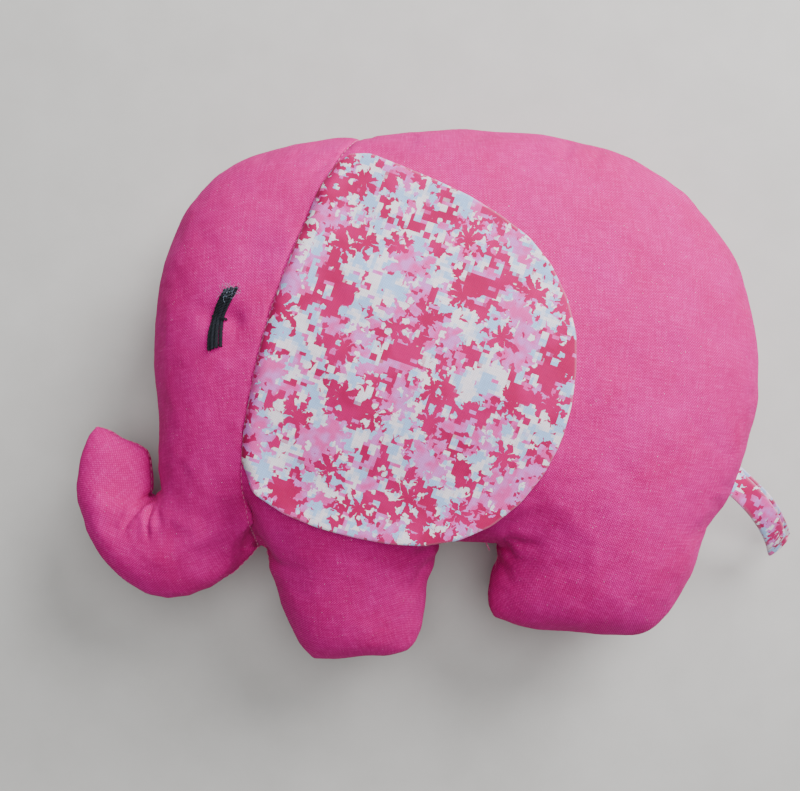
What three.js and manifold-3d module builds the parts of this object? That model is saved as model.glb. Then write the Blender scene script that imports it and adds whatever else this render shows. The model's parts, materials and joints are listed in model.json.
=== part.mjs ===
// A stuffed cloth elephant, lying on its right side.
// Millimetres. x runs from the trunk to the rump, y from the feet to the back, z up.
// Two head panels and two body panels are sewn edge to edge around one flat seam plane and filled
// with loose stuffing. A printed ear is caught in the head seam on each side, and a folded strip
// of the same print in the seam at the rump makes the tail.
import * as THREE from 'three';
import { mergeVertices } from 'three/addons/utils/BufferGeometryUtils.js';
import Module from 'manifold-3d';

const wasm = await Module();
wasm.setup();

// Overall sizes
const toyLength = 250;          // trunk to rump
const toyHeight = 194;          // soles to back
const restDrop = 40;            // seam plane above the surface that the toy lies on

// How far each stuffed part swells out of the seam plane, toward the upper and the lower side
const torsoSwell = { rise: 46, drop: 47 };
const backLegSwell = { rise: 34, drop: 34 };
const frontLegSwell = { rise: 30, drop: 30 };
const trunkRootSwell = { rise: 21, drop: 21 };
const trunkTipSwell = { rise: 14, drop: 14 };

// Cloth, stuffing and clearances
const cloth = 0.6;              // one layer of cotton
const seamGap = 0.3;            // between two pieces of cloth that are sewn together
const stuffingGap = 0.8;        // between the cloth and the stuffing inside it
const wadGap = 0.8;             // between two wads of stuffing

// Ears
const earReach = 108;           // from the sewn edge to the free edge, at the widest
const earLift = 1.2;            // between the ear and the cloth it lies on
const earStack = earLift + 2 * cloth + seamGap;
const earSag = 0.4;             // how readily the ear bends down to the cloth under it
const nestMargin = 1.5;         // around the lower ear, where the body is pressed in by it

// Tail
const tailWidth = 9.5;
const tailReach = 41;           // from the seam to the fold, seen along z
const tailDroop = 25;           // how far the fold hangs below the seam plane
const tailCloth = 1;            // a strip folded to its middle and pressed
const tailPlyGap = 1.1;         // between the two runs of the loop
const tailGap = 2.1;            // between the seam of the rump and the strip, for its swing

// Eyes
const yarn = 1.1;               // diameter of one strand
const yarnCount = 4;
const yarnGap = 0.3;            // between neighbouring strands, and above the cloth
const tieYarn = 0.7;            // diameter of the stitch that ties the strands down

// Closing stitches, sewn by hand under the belly
const thread = 0.5;
const stitchCount = 6;
const stitchLength = 3;
const stitchHeight = 2.4;

// The cutting pattern is drawn for a toy of this size and stretched to the size above.
const drawnLength = 250;
const drawnHeight = 194;
const drawnEarReach = 108;
const farAway = 200;            // beyond every outline, for the cutting blocks

function place(x, y) {
  return new THREE.Vector3(x * toyLength / drawnLength, y * toyHeight / drawnHeight, 0);
}

// ---------- Outlines ----------

const torsoOutline = [
  [-12, 94.5], [-40, 91.5], [-66, 81], [-83, 57], [-89.5, 25], [-88, -10], [-87, -34], [-72, -52],
  [-52, -56], [-20, -53], [14, -53], [60, -54], [112, -47], [126, -19], [130.5, 8], [124, 44],
  [104, 73], [76, 89.5], [40, 96], [10, 96.5],
];
const backLegOutline = [
  [72, 12], [40, -14], [38, -44], [35, -60], [32, -73], [34, -81.5], [60, -86.5], [86, -87.5],
  [94, -84], [106, -66], [112, -46], [116, -20], [104, 2],
];
const frontLegOutline = [
  [-18, -14], [-42, -30], [-50, -55], [-46, -68], [-41, -83], [-32, -97], [-14, -95.5], [3, -93.5],
  [8, -86], [10.5, -67], [15, -54], [8, -30],
];
const trunkRootOutline = [
  [-62, -22], [-84, -31], [-91, -36.5], [-104, -34], [-117, -42], [-111, -57], [-100, -68.5],
  [-85, -74.5], [-69, -70.5], [-53, -58], [-48, -38],
];
const trunkTipOutline = [
  [-111.5, -10.5], [-116.5, -20], [-118.8, -33], [-117, -44], [-107, -56], [-95, -50],
  [-91, -37], [-90.8, -27], [-92.5, -19.5], [-102, -15],
];
const headSeamLine = [[-12, 96], [-20, 82], [-31, 58], [-42, 29], [-49.5, 0], [-53, -26], [-52, -58]];
const earFreeEdge = [
  [-12.5, 80], [0.5, 75], [26, 62.5], [45, 47], [55, 26], [56, 6], [50, -19], [33, -40.5],
  [12, -49], [-16, -46.5], [-41, -37.5], [-50, -30],
];
const earSewnEdge = { top: 79, bottom: -23 };
const eyeLine = [[-55, 37], [-59.5, 26], [-61.5, 14]];
const tailRoot = [121.5, -31];
const tailHeading = [0.68, -0.73];
const closingStart = 16;        // x of the first closing stitch

// ---------- Solids ----------

function solidOf(geometry) {
  const bare = geometry.clone();
  bare.deleteAttribute('normal');
  bare.deleteAttribute('uv');
  const merged = mergeVertices(bare);
  return new wasm.Manifold(new wasm.Mesh({
    numProp: 3,
    vertProperties: new Float32Array(merged.attributes.position.array),
    triVerts: new Uint32Array(merged.index.array),
  }));
}

function geometryOf(solid) {
  const mesh = solid.getMesh();
  const geometry = new THREE.BufferGeometry();
  geometry.setAttribute('position', new THREE.BufferAttribute(new Float32Array(mesh.vertProperties), 3));
  geometry.setIndex(new THREE.BufferAttribute(new Uint32Array(mesh.triVerts), 1));
  geometry.computeVertexNormals();
  return geometry;
}

// A closed surface that starts at one point, passes through loops of equal length and ends at
// another point. Loops run anticlockwise when seen from the start point. The second half is split
// into triangles as a mirror image of the first, so that layers of the same shape nest.
function closedSurface(start, loops, end) {
  const count = loops[0].length;
  const last = loops.length * count + 1;
  const vertex = (loop, i) => 1 + loop * count + (i % count);
  const index = [];
  for (let i = 0; i < count; i++) {
    index.push(0, vertex(0, i), vertex(0, i + 1));
    for (let loop = 1; loop < loops.length; loop++) {
      const [a, b] = [vertex(loop - 1, i), vertex(loop - 1, i + 1)];
      const [c, d] = [vertex(loop, i), vertex(loop, i + 1)];
      const faces = loop > loops.length / 2 ? [a, c, b, c, d, b] : [a, c, d, a, d, b];
      index.push(...faces);
    }
    index.push(vertex(loops.length - 1, i + 1), vertex(loops.length - 1, i), last);
  }
  const positions = [start, ...loops.flat(), end].flatMap((point) => [point.x, point.y, point.z]);
  const geometry = new THREE.BufferGeometry();
  geometry.setAttribute('position', new THREE.Float32BufferAttribute(positions, 3));
  geometry.setIndex(index);
  geometry.computeVertexNormals();
  return geometry;
}

// An upright block over an outline, from one level to another.
function block(points, low, high) {
  const shape = new THREE.Shape(points.map((point) => new THREE.Vector2(point.x, point.y)));
  const geometry = new THREE.ExtrudeGeometry(shape, { depth: high - low, bevelEnabled: false });
  return solidOf(geometry.translate(0, 0, low));
}

function slab(low, high) {
  const corners = [[-farAway, -farAway], [farAway, -farAway], [farAway, farAway], [-farAway, farAway]];
  return block(corners.map(([x, y]) => ({ x, y })), low, high);
}

function tube(points, diameter, steps) {
  const section = new THREE.Shape();
  section.absarc(0, 0, diameter / 2, 0, 2 * Math.PI);
  return new THREE.ExtrudeGeometry(section, {
    extrudePath: new THREE.CatmullRomCurve3(points),
    steps,
    curveSegments: 3,
    bevelEnabled: false,
  });
}

// ---------- Stuffed parts ----------

// A stuffed part is a closed outline in the seam plane that swells to a crown over its centre.
// The rim passes through every point of the outline, in a few steps from one to the next.
function stuffed(outline, centre, swell, stepsBetween, ringSteps) {
  const curve = new THREE.CatmullRomCurve3(outline.map(([x, y]) => place(x, y)), true);
  const rim = curve.getPoints(stepsBetween * outline.length).slice(0, -1);
  return { rim, centre: place(...centre), swell, ringSteps };
}

const torso = stuffed(torsoOutline, [18, 18], torsoSwell, 3, 6);
const backLeg = stuffed(backLegOutline, [74, -38], backLegSwell, 2, 4);
const frontLeg = stuffed(frontLegOutline, [-18, -54], frontLegSwell, 2, 4);
const trunkRoot = stuffed(trunkRootOutline, [-84, -53], trunkRootSwell, 2, 4);
const trunkTip = stuffed(trunkTipOutline, [-105, -34], trunkTipSwell, 2, 4);
const stuffedParts = [torso, backLeg, frontLeg, trunkRoot, trunkTip];

// Share of the full swell at a share of the way from the centre to the rim.
function crown(share) {
  return Math.pow(Math.max(0, 1 - Math.pow(share, 2.2)), 0.55);
}

// The part as a solid, with its whole surface moved inward by inset. A stride of 2 takes every
// second point and ring only.
function lens(part, inset, stride) {
  const rim = part.rim.filter((unused, i) => i % stride === 0);
  const level = (share, swell) => (swell - inset) * crown(share);
  const loop = (share, height) => rim.map((point) => {
    const way = point.clone().sub(part.centre);
    return part.centre.clone().addScaledVector(way, share * (1 - inset / way.length())).setZ(height);
  });
  const rings = part.ringSteps / stride;
  const shares = Array.from({ length: rings }, (unused, k) => Math.sin(0.5 * Math.PI * (k + 1) / rings));
  const inner = shares.slice(0, -1);
  const upper = inner.map((share) => loop(share, level(share, part.swell.rise)));
  const lower = inner.map((share) => loop(share, -level(share, part.swell.drop))).reverse();
  const top = part.centre.clone().setZ(part.swell.rise - inset);
  const bottom = part.centre.clone().setZ(inset - part.swell.drop);
  return solidOf(closedSurface(top, [...upper, loop(1, 0), ...lower], bottom));
}

// How far a point of the seam plane lies from the centre, as a share of the way to the rim.
function shareOfRim(part, x, y) {
  const way = new THREE.Vector2(x - part.centre.x, y - part.centre.y);
  const count = part.rim.length;
  for (let i = 0; i < count; i++) {
    const a = new THREE.Vector2(part.rim[i].x - part.centre.x, part.rim[i].y - part.centre.y);
    const next = part.rim[(i + 1) % count];
    const b = new THREE.Vector2(next.x - part.centre.x, next.y - part.centre.y);
    if (a.cross(way) >= 0 && way.cross(b) > 0) {
      return way.cross(b.clone().sub(a)) / a.cross(b);
    }
  }
  return 0;
}

// Height of the cloth above the seam plane on the upper side, or its depth on the lower side.
function swellAt(x, y, side) {
  const heights = stuffedParts.map((part) => {
    const swell = side > 0 ? part.swell.rise : part.swell.drop;
    return swell * crown(shareOfRim(part, x, y));
  });
  const height = Math.max(...heights);
  return side > 0 ? height : Math.min(height, restDrop - earStack);
}

// ---------- Ears ----------

const headSeam = new THREE.CatmullRomCurve3(headSeamLine.map(([x, y]) => place(x, y)));

// The point of the head seam at a given y.
function headSeamAt(y) {
  const points = headSeam.getPoints(60);
  const below = points.findIndex((point) => point.y <= y);
  const [a, b] = [points[below - 1], points[below]];
  return a.clone().lerp(b, (a.y - y) / (a.y - b.y));
}

function earOutline() {
  const sewn = { top: place(0, earSewnEdge.top).y, bottom: place(0, earSewnEdge.bottom).y };
  const sewnPoints = [0, 0.25, 0.5, 0.75, 1].map((share) => {
    return headSeamAt(THREE.MathUtils.lerp(sewn.bottom, sewn.top, share)).setZ(0);
  });
  const free = earFreeEdge.map(([x, y]) => {
    const point = place(x, y);
    const root = headSeamAt(point.y).x;
    return point.setX(root + (point.x - root) * earReach / drawnEarReach);
  });
  // Anticlockwise: down the sewn edge, then along the free edge back to the top.
  const points = [...sewnPoints.reverse(), ...free.reverse()];
  points.forEach((point) => point.setX(point.x + seamGap));
  return points;
}

const earRimSteps = 32;
const earRingSteps = 5;
const sewnMargin = 3;           // how near the head seam a point of the rim is held down by it
const earCurve = new THREE.CatmullRomCurve3(earOutline(), true);
const earRim = earCurve.getSpacedPoints(earRimSteps).slice(0, earRimSteps);
const earCentre = place(4, 16);

function isSewn(point) {
  const above = point.y - place(0, earSewnEdge.bottom).y;
  const below = place(0, earSewnEdge.top).y - point.y;
  return Math.min(above, below) > -sewnMargin && point.x - headSeamAt(point.y).x < sewnMargin;
}

// The ear hangs over the swelling cloth like a limp sheet: each point settles a little below the
// mean height of its neighbours, and never sinks below the cloth.
function drapedEar(side) {
  const loops = Array.from({ length: earRingSteps }, (unused, k) => {
    const share = (k + 1) / earRingSteps;
    return earRim.map((point) => earCentre.clone().lerp(point, share));
  });
  const centre = earCentre.clone();
  const points = [centre, ...loops.flat()];
  const floor = points.map((point) => swellAt(point.x, point.y, side) + earLift);
  points.forEach((point, i) => point.setZ(floor[i]));
  const at = (k, i) => loops[k][(i + earRimSteps) % earRimSteps];
  for (let pass = 0; pass < 200; pass++) {
    centre.z = Math.max(floor[0], loops[0].reduce((sum, point) => sum + point.z, 0) / earRimSteps);
    loops.forEach((loop, k) => loop.forEach((point, i) => {
      if (k === earRingSteps - 1 && isSewn(point)) return;
      const neighbours = [at(k, i - 1), at(k, i + 1), k > 0 ? at(k - 1, i) : centre];
      if (k < earRingSteps - 1) neighbours.push(at(k + 1, i));
      const mean = neighbours.reduce((sum, near) => sum + near.z, 0) / neighbours.length;
      point.setZ(Math.max(floor[1 + k * earRimSteps + i], mean - earSag));
    }));
  }
  return { centre, loops };
}

// One layer of an ear, between two distances from the cloth under it.
function earPly(draped, side, from, to) {
  const lifted = (point, lift) => point.clone().setZ(side * (point.z + lift));
  const [upper, lower] = side > 0 ? [to, from] : [from, to];
  const top = draped.loops.map((loop) => loop.map((point) => lifted(point, upper)));
  const bottom = draped.loops.map((loop) => loop.map((point) => lifted(point, lower))).reverse();
  const ply = closedSurface(lifted(draped.centre, upper), [...top, ...bottom], lifted(draped.centre, lower));
  return geometryOf(solidOf(ply).subtract(body(-seamGap)));
}

// ---------- Panels and stuffing ----------

// The hollow pressed into the lower side by the ear that lies under it.
function earNest(grow) {
  const outline = earRim.map((point) => {
    const way = point.clone().sub(earCentre);
    return earCentre.clone().addScaledVector(way, 1 + (nestMargin + grow) / way.length());
  });
  return block(outline, -farAway, earStack - restDrop + grow);
}

// The whole stuffed toy as one solid, with its surface moved inward by inset. The torso, which is
// the roundest part, can take a coarser surface.
function body(inset, torsoStride = 1) {
  const lenses = stuffedParts.map((part) => lens(part, inset, part === torso ? torsoStride : 1));
  const whole = lenses.reduce((sum, next) => sum.add(next));
  return whole.intersect(slab(inset - restDrop, farAway)).subtract(earNest(inset));
}

// Everything on one side of the head seam, kept half a gap away from it.
function besideHeadSeam(side, gap) {
  const points = headSeam.getPoints(24).map((point) => ({ x: point.x + side * gap / 2, y: point.y }));
  const start = points[0];
  const end = points[points.length - 1];
  const outline = [
    { x: start.x + 20, y: farAway }, ...points, { x: end.x, y: -farAway },
    { x: side * farAway, y: -farAway }, { x: side * farAway, y: farAway },
  ];
  return block(side > 0 ? outline : outline.reverse(), -farAway, farAway);
}

// Everything beyond a line from a to b, on its right hand, kept half a gap away from it.
function beyond(a, b, gap) {
  const along = b.clone().sub(a).normalize();
  const right = new THREE.Vector3(along.y, -along.x, 0);
  const start = a.clone().addScaledVector(along, -farAway).addScaledVector(right, gap / 2);
  const end = b.clone().addScaledVector(along, farAway).addScaledVector(right, gap / 2);
  const outline = [start, end, end.clone().addScaledVector(right, farAway)];
  outline.push(start.clone().addScaledVector(right, farAway));
  return block(outline.reverse(), -farAway, farAway);
}

const headSide = besideHeadSeam(-1, seamGap);
const bodySide = besideHeadSeam(1, seamGap);
const upperHalf = slab(seamGap / 2, farAway);
const lowerHalf = slab(-farAway, -seamGap / 2);

function panelSolids() {
  const shell = body(0).subtract(body(cloth));
  return {
    near_head_panel: shell.intersect(upperHalf).intersect(headSide),
    near_body_panel: shell.intersect(upperHalf).intersect(bodySide),
    far_head_panel: shell.intersect(lowerHalf).intersect(headSide),
    far_body_panel: shell.intersect(lowerHalf).intersect(bodySide),
  };
}

function stuffingSolids() {
  const whole = body(cloth + stuffingGap, 2);
  const head = whole.intersect(besideHeadSeam(-1, wadGap));
  const rest = whole.intersect(besideHeadSeam(1, wadGap));
  const trunkCut = [place(-64, -72), place(-88, -30)];
  const frontLegCut = [place(16, -46), place(-52, -46)];
  const backLegCut = [place(118, -46), place(30, -46)];
  const legGapCut = [place(24, -100), place(24, 0)];
  const cut = (solid, line, gap) => solid.intersect(beyond(...line, gap));
  const back = (line) => [line[1], line[0]];
  const legs = cut(rest, back(frontLegCut), wadGap);
  return {
    trunk_stuffing: cut(head, back(trunkCut), wadGap),
    head_stuffing: cut(head, trunkCut, wadGap),
    body_stuffing: cut(rest, frontLegCut, wadGap),
    back_leg_stuffing: cut(legs, legGapCut, 0),
    front_leg_stuffing: cut(legs, back(legGapCut), 0),
  };
}

// ---------- Eyes ----------

const eyeCurve = new THREE.CatmullRomCurve3(eyeLine.map(([x, y]) => place(x, y)));

// A point of the eye, at a share of its length, a distance across it and a lift above the cloth.
function eyePoint(share, across, lift, side) {
  const way = eyeCurve.getTangentAt(share);
  const point = eyeCurve.getPointAt(share).add(new THREE.Vector3(way.y, -way.x, 0).multiplyScalar(across));
  return point.setZ(side * (swellAt(point.x, point.y, side) + lift));
}

function eyeStrand(side, across) {
  const lift = yarnGap + yarn / 2;
  return tube([0, 0.25, 0.5, 0.75, 1].map((share) => eyePoint(share, across, lift, side)), yarn, 8);
}

// The stitch that crosses all the strands halfway along the eye.
function eyeTie(side) {
  const half = (yarnCount * (yarn + yarnGap) + yarnGap + tieYarn) / 2;
  const low = yarnGap + tieYarn / 2;
  const high = 2 * yarnGap + yarn + tieYarn / 2;
  const route = [[-half, low], [-half, high - yarnGap], [-half + yarn, high], [half - yarn, high],
    [half, high - yarnGap], [half, low]];
  return tube(route.map(([across, lift]) => eyePoint(0.5, across, lift, side)), tieYarn, 12);
}

// ---------- Tail ----------

// Side view of the strip folded to a loop: its two runs lie one above the other, and it bends down.
function tailProfile() {
  const bend = new THREE.CatmullRomCurve3([[-0.3, 0], [0.1, 0], [0.45, -0.22], [0.8, -0.66], [1, -1]].map(
    ([out, down]) => new THREE.Vector3(out * tailReach, down * tailDroop, 0)));
  const steps = 10;
  const end = bend.getPointAt(1);
  const heading = Math.atan2(bend.getTangentAt(1).y, bend.getTangentAt(1).x);
  const run = (offset) => bend.getSpacedPoints(steps).map((point, i) => {
    const way = bend.getTangentAt(i / steps);
    return new THREE.Vector2(point.x - way.y * offset, point.y + way.x * offset);
  });
  const fold = (radius) => [0.25, 0, -0.25].map((turn) => {
    const angle = heading + turn * Math.PI;
    return new THREE.Vector2(end.x + radius * Math.cos(angle), end.y + radius * Math.sin(angle));
  });
  const inner = tailPlyGap / 2;
  const outer = inner + tailCloth;
  const outside = [...run(outer), ...fold(outer), ...run(-outer).reverse()];
  const inside = [...run(inner), ...fold(inner), ...run(-inner).reverse()];
  return new THREE.Shape([...outside, ...inside.reverse()]);
}

function tailStrip() {
  const strip = new THREE.ExtrudeGeometry(tailProfile(), { depth: tailWidth, bevelEnabled: false });
  const out = new THREE.Vector3(...tailHeading, 0).normalize();
  const up = new THREE.Vector3(0, 0, 1);
  const across = new THREE.Vector3().crossVectors(out, up);
  const basis = new THREE.Matrix4().makeBasis(out, up, across).setPosition(place(...tailRoot));
  strip.translate(0, 0, -tailWidth / 2).applyMatrix4(basis);
  // The sewn end follows the edge of the rump.
  return geometryOf(solidOf(strip).subtract(lens(torso, -tailGap, 1)));
}

// ---------- Closing stitches ----------

function bellyEdgeAt(x) {
  const lower = torso.rim.filter((point) => point.y < torso.centre.y);
  const before = lower.filter((point) => point.x <= x).reduce((a, b) => (b.x > a.x ? b : a));
  const after = lower.filter((point) => point.x > x).reduce((a, b) => (b.x < a.x ? b : a));
  return THREE.MathUtils.mapLinear(x, before.x, after.x, before.y, after.y);
}

// One thread that crosses the belly seam from panel to panel, over and over.
function closingStitches() {
  const start = place(closingStart, 0).x;
  const route = Array.from({ length: stitchCount + 1 }, (unused, i) => {
    const x = start + i * stitchLength;
    const height = (i % 2 === 0 ? 1 : -1) * stitchHeight / 2;
    return new THREE.Vector3(x, bellyEdgeAt(x) - seamGap - thread, height);
  });
  return tube(route, thread, 3 * stitchCount);
}

// ---------- The toy ----------

const pinkCotton = () => new THREE.MeshStandardMaterial({ color: 0xd65f9e, roughness: 0.92, metalness: 0 });
const printedCotton = () => new THREE.MeshStandardMaterial({ color: 0xde7fa6, roughness: 0.9, metalness: 0 });
const plainCotton = () => new THREE.MeshStandardMaterial({ color: 0xf2dde6, roughness: 0.9, metalness: 0 });
const blackYarn = () => new THREE.MeshStandardMaterial({ color: 0x16161c, roughness: 0.95, metalness: 0 });
const pinkThread = () => new THREE.MeshStandardMaterial({ color: 0xb94a80, roughness: 0.6, metalness: 0 });
const fibrefill = () => new THREE.MeshStandardMaterial({ color: 0xf6f6f4, roughness: 1, metalness: 0 });

const elephant = new THREE.Group();

function add(name, geometry, material) {
  const mesh = new THREE.Mesh(geometry, material);
  mesh.name = name;
  elephant.add(mesh);
}

for (const [name, solid] of Object.entries(panelSolids())) {
  add(name, geometryOf(solid), pinkCotton());
}
for (const [name, solid] of Object.entries(stuffingSolids())) {
  add(name, geometryOf(solid), fibrefill());
}
for (const [name, side] of [['near', 1], ['far', -1]]) {
  const draped = drapedEar(side);
  add(`${name}_ear_back`, earPly(draped, side, 0, cloth), plainCotton());
  add(`${name}_ear_face`, earPly(draped, side, cloth + seamGap, 2 * cloth + seamGap), printedCotton());
  for (let i = 0; i < yarnCount; i++) {
    const across = (i - (yarnCount - 1) / 2) * (yarn + yarnGap);
    add(`${name}_eye_strand_${i + 1}`, eyeStrand(side, across), blackYarn());
  }
  add(`${name}_eye_tie`, eyeTie(side), blackYarn());
}
add('tail_strip', tailStrip(), printedCotton());
add('closing_stitches', closingStitches(), pinkThread());

// Stand the toy on z = 0, with the middle of its box on the z axis.
const box = new THREE.Box3().setFromObject(elephant);
const middle = box.getCenter(new THREE.Vector3());
elephant.position.set(-middle.x, -middle.y, -box.min.z);

export default elephant;
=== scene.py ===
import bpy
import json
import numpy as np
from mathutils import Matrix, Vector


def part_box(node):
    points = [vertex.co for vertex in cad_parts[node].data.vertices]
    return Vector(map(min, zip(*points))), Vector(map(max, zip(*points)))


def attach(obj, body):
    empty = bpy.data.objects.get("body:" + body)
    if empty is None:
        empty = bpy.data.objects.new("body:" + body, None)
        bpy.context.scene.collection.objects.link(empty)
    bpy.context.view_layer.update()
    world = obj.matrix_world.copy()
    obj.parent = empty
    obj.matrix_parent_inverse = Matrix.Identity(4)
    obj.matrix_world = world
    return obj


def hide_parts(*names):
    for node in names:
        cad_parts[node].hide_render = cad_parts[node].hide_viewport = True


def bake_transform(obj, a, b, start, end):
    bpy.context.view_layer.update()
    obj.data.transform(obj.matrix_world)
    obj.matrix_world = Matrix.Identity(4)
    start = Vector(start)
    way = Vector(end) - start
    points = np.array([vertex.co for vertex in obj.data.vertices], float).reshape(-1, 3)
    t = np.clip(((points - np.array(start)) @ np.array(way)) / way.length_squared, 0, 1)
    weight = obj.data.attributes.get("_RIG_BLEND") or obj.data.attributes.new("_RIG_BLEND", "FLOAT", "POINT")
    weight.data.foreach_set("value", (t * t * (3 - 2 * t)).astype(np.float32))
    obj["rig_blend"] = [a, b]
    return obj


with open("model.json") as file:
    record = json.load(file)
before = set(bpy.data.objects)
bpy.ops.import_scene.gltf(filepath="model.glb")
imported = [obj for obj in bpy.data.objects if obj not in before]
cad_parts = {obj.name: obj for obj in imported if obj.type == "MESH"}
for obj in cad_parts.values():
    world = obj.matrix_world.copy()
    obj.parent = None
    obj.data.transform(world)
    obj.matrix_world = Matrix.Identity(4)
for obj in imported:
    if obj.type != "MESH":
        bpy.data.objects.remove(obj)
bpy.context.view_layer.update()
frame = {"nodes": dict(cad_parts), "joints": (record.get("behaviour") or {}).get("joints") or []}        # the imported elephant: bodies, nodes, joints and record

import json
import math

import bmesh
import bpy
import numpy as np
from mathutils import Vector, geometry
from mathutils.bvhtree import BVHTree
from mathutils.kdtree import KDTree

mm = 0.001

# the seam plane lies between the upper and the lower body panel
seamZ = (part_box("near_body_panel")[0][2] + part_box("far_body_panel")[1][2]) / 2
print("frame loaded, seam plane at", round(seamZ / mm, 2), "mm")


def newObject(name, verts, faces, smooth=True):
    mesh = bpy.data.meshes.new(name)
    mesh.from_pydata(np.asarray(verts, dtype=float).tolist(), [], [[int(i) for i in f] for f in faces])
    mesh.update()
    if smooth:
        mesh.polygons.foreach_set("use_smooth", [True] * len(mesh.polygons))
    obj = bpy.data.objects.new(name, mesh)
    bpy.context.scene.collection.objects.link(obj)
    return obj


def getVerts(obj):
    co = np.empty(len(obj.data.vertices) * 3)
    obj.data.vertices.foreach_get("co", co)
    return co.reshape(-1, 3)


def getNormals(obj):
    normals = np.empty(len(obj.data.vertices) * 3)
    obj.data.vertex_normals.foreach_get("vector", normals)
    return normals.reshape(-1, 3)


def setVerts(obj, co):
    obj.data.vertices.foreach_set("co", np.asarray(co, dtype=np.float32).ravel())
    obj.data.update()


def mergedNode(name):
    bm = bmesh.new()
    bm.from_mesh(frame["nodes"][name].data)
    bmesh.ops.remove_doubles(bm, verts=bm.verts, dist=1e-6)
    bmesh.ops.triangulate(bm, faces=bm.faces)
    return bm


def bakeModifiers(obj):
    graph = bpy.context.evaluated_depsgraph_get()
    made = bpy.data.meshes.new_from_object(obj.evaluated_get(graph), depsgraph=graph)
    obj.modifiers.clear()
    obj.data = made


def smoothStep(x):
    x = np.clip(x, 0, 1)
    return x * x * (3 - 2 * x)


def resample(points, step, closed=False):
    points = np.asarray(points, dtype=float)
    if closed:
        points = np.vstack([points, points[:1]])
    length = np.concatenate([[0], np.cumsum(np.linalg.norm(np.diff(points, axis=0), axis=1))])
    count = max(2, round(length[-1] / step))
    at = np.linspace(0, length[-1], count + 1)
    made = np.stack([np.interp(at, length, points[:, k]) for k in range(points.shape[1])], axis=1)
    return made[:-1] if closed else made


def softenLoop(points, sigma, step):
    reach = int(4 * sigma / step)
    weights = np.exp(-0.5 * (np.arange(-reach, reach + 1) * step / sigma) ** 2)
    weights /= weights.sum()
    return sum(w * np.roll(points, k, axis=0) for w, k in zip(weights, range(-reach, reach + 1)))


def softNoise(points, scale, seed, waves=26):
    # a smooth random field from plane waves, about -1 to 1
    draw = np.random.default_rng(seed)
    ways = draw.normal(size=(waves, points.shape[1]))
    ways /= np.linalg.norm(ways, axis=1)[:, None]
    rates = 2 * math.pi / (scale * draw.uniform(0.7, 1.5, waves))
    phases = draw.uniform(0, 2 * math.pi, waves)
    total = np.zeros(len(points))
    for way, rate, phase in zip(ways, rates, phases):
        total += np.sin(points @ way * rate + phase)
    return total / math.sqrt(waves)


def levelRing(name):
    # the edges round the flat sewn edge of a panel, as one closed loop of points
    bm = mergedNode(name)
    level = min(v.co.z for v in bm.verts)
    flat = {f for f in bm.faces if all(abs(v.co.z - level) < 1e-6 for v in f.verts)}
    links = {}
    for edge in bm.edges:
        if sum(f in flat for f in edge.link_faces) == 1:
            a, b = edge.verts
            links.setdefault(a.index, []).append(b.index)
            links.setdefault(b.index, []).append(a.index)
    bm.verts.ensure_lookup_table()
    place = {i: bm.verts[i].co.copy() for i in links}
    bm.free()
    start = min(links)
    loop, last = [start], None
    while True:
        step = [i for i in links[loop[-1]] if i != last]
        last = loop[-1]
        if not step or step[0] == start:
            break
        loop.append(step[0])
    return np.array([place[i][:2] for i in loop])


def outerChain(loop, other):
    # the loop runs out along the cloth's outer face and back along its inner face
    near = sorted(i for i, p in enumerate(loop) if np.linalg.norm(other - p, axis=1).min() < 0.6 * mm)
    chains = []
    for a, b in zip(near, near[1:] + [near[0] + len(loop)]):
        chains.append(loop[np.arange(a, b + 1) % len(loop)])
    length = [np.linalg.norm(np.diff(c, axis=0), axis=1).sum() for c in chains]
    return chains[int(np.argmax(length))]


def headSeamLine():
    # where the head panel meets the body panel, seen along z, from the belly to the back
    body, head = mergedNode("near_body_panel"), mergedNode("near_head_panel")
    tree = BVHTree.FromBMesh(head)
    wall = []
    for v in body.verts:
        hit = tree.find_nearest(v.co)
        if hit[0] is not None and hit[3] < 0.4 * mm:
            wall.append((hit[0].x + v.co.x, hit[0].y + v.co.y))
    wall = np.array(sorted(wall, key=lambda p: p[1])) / 2
    levels = np.linspace(wall[0, 1], wall[-1, 1], 60)
    return np.stack([np.interp(levels, wall[:, 1], wall[:, 0]), levels], axis=1)


def signedArea(loop):
    x, y = loop[:, 0], loop[:, 1]
    return 0.5 * np.sum(x * np.roll(y, -1) - y * np.roll(x, -1))


def insideLoop(points, loop):
    x, y = points[:, 0], points[:, 1]
    inside = np.zeros(len(points), dtype=bool)
    for (ax, ay), (bx, by) in zip(loop, np.roll(loop, -1, axis=0)):
        crosses = (ay > y) != (by > y)
        with np.errstate(divide="ignore", invalid="ignore"):
            inside ^= crosses & (x < (bx - ax) * (y - ay) / (by - ay) + ax)
    return inside


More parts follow.
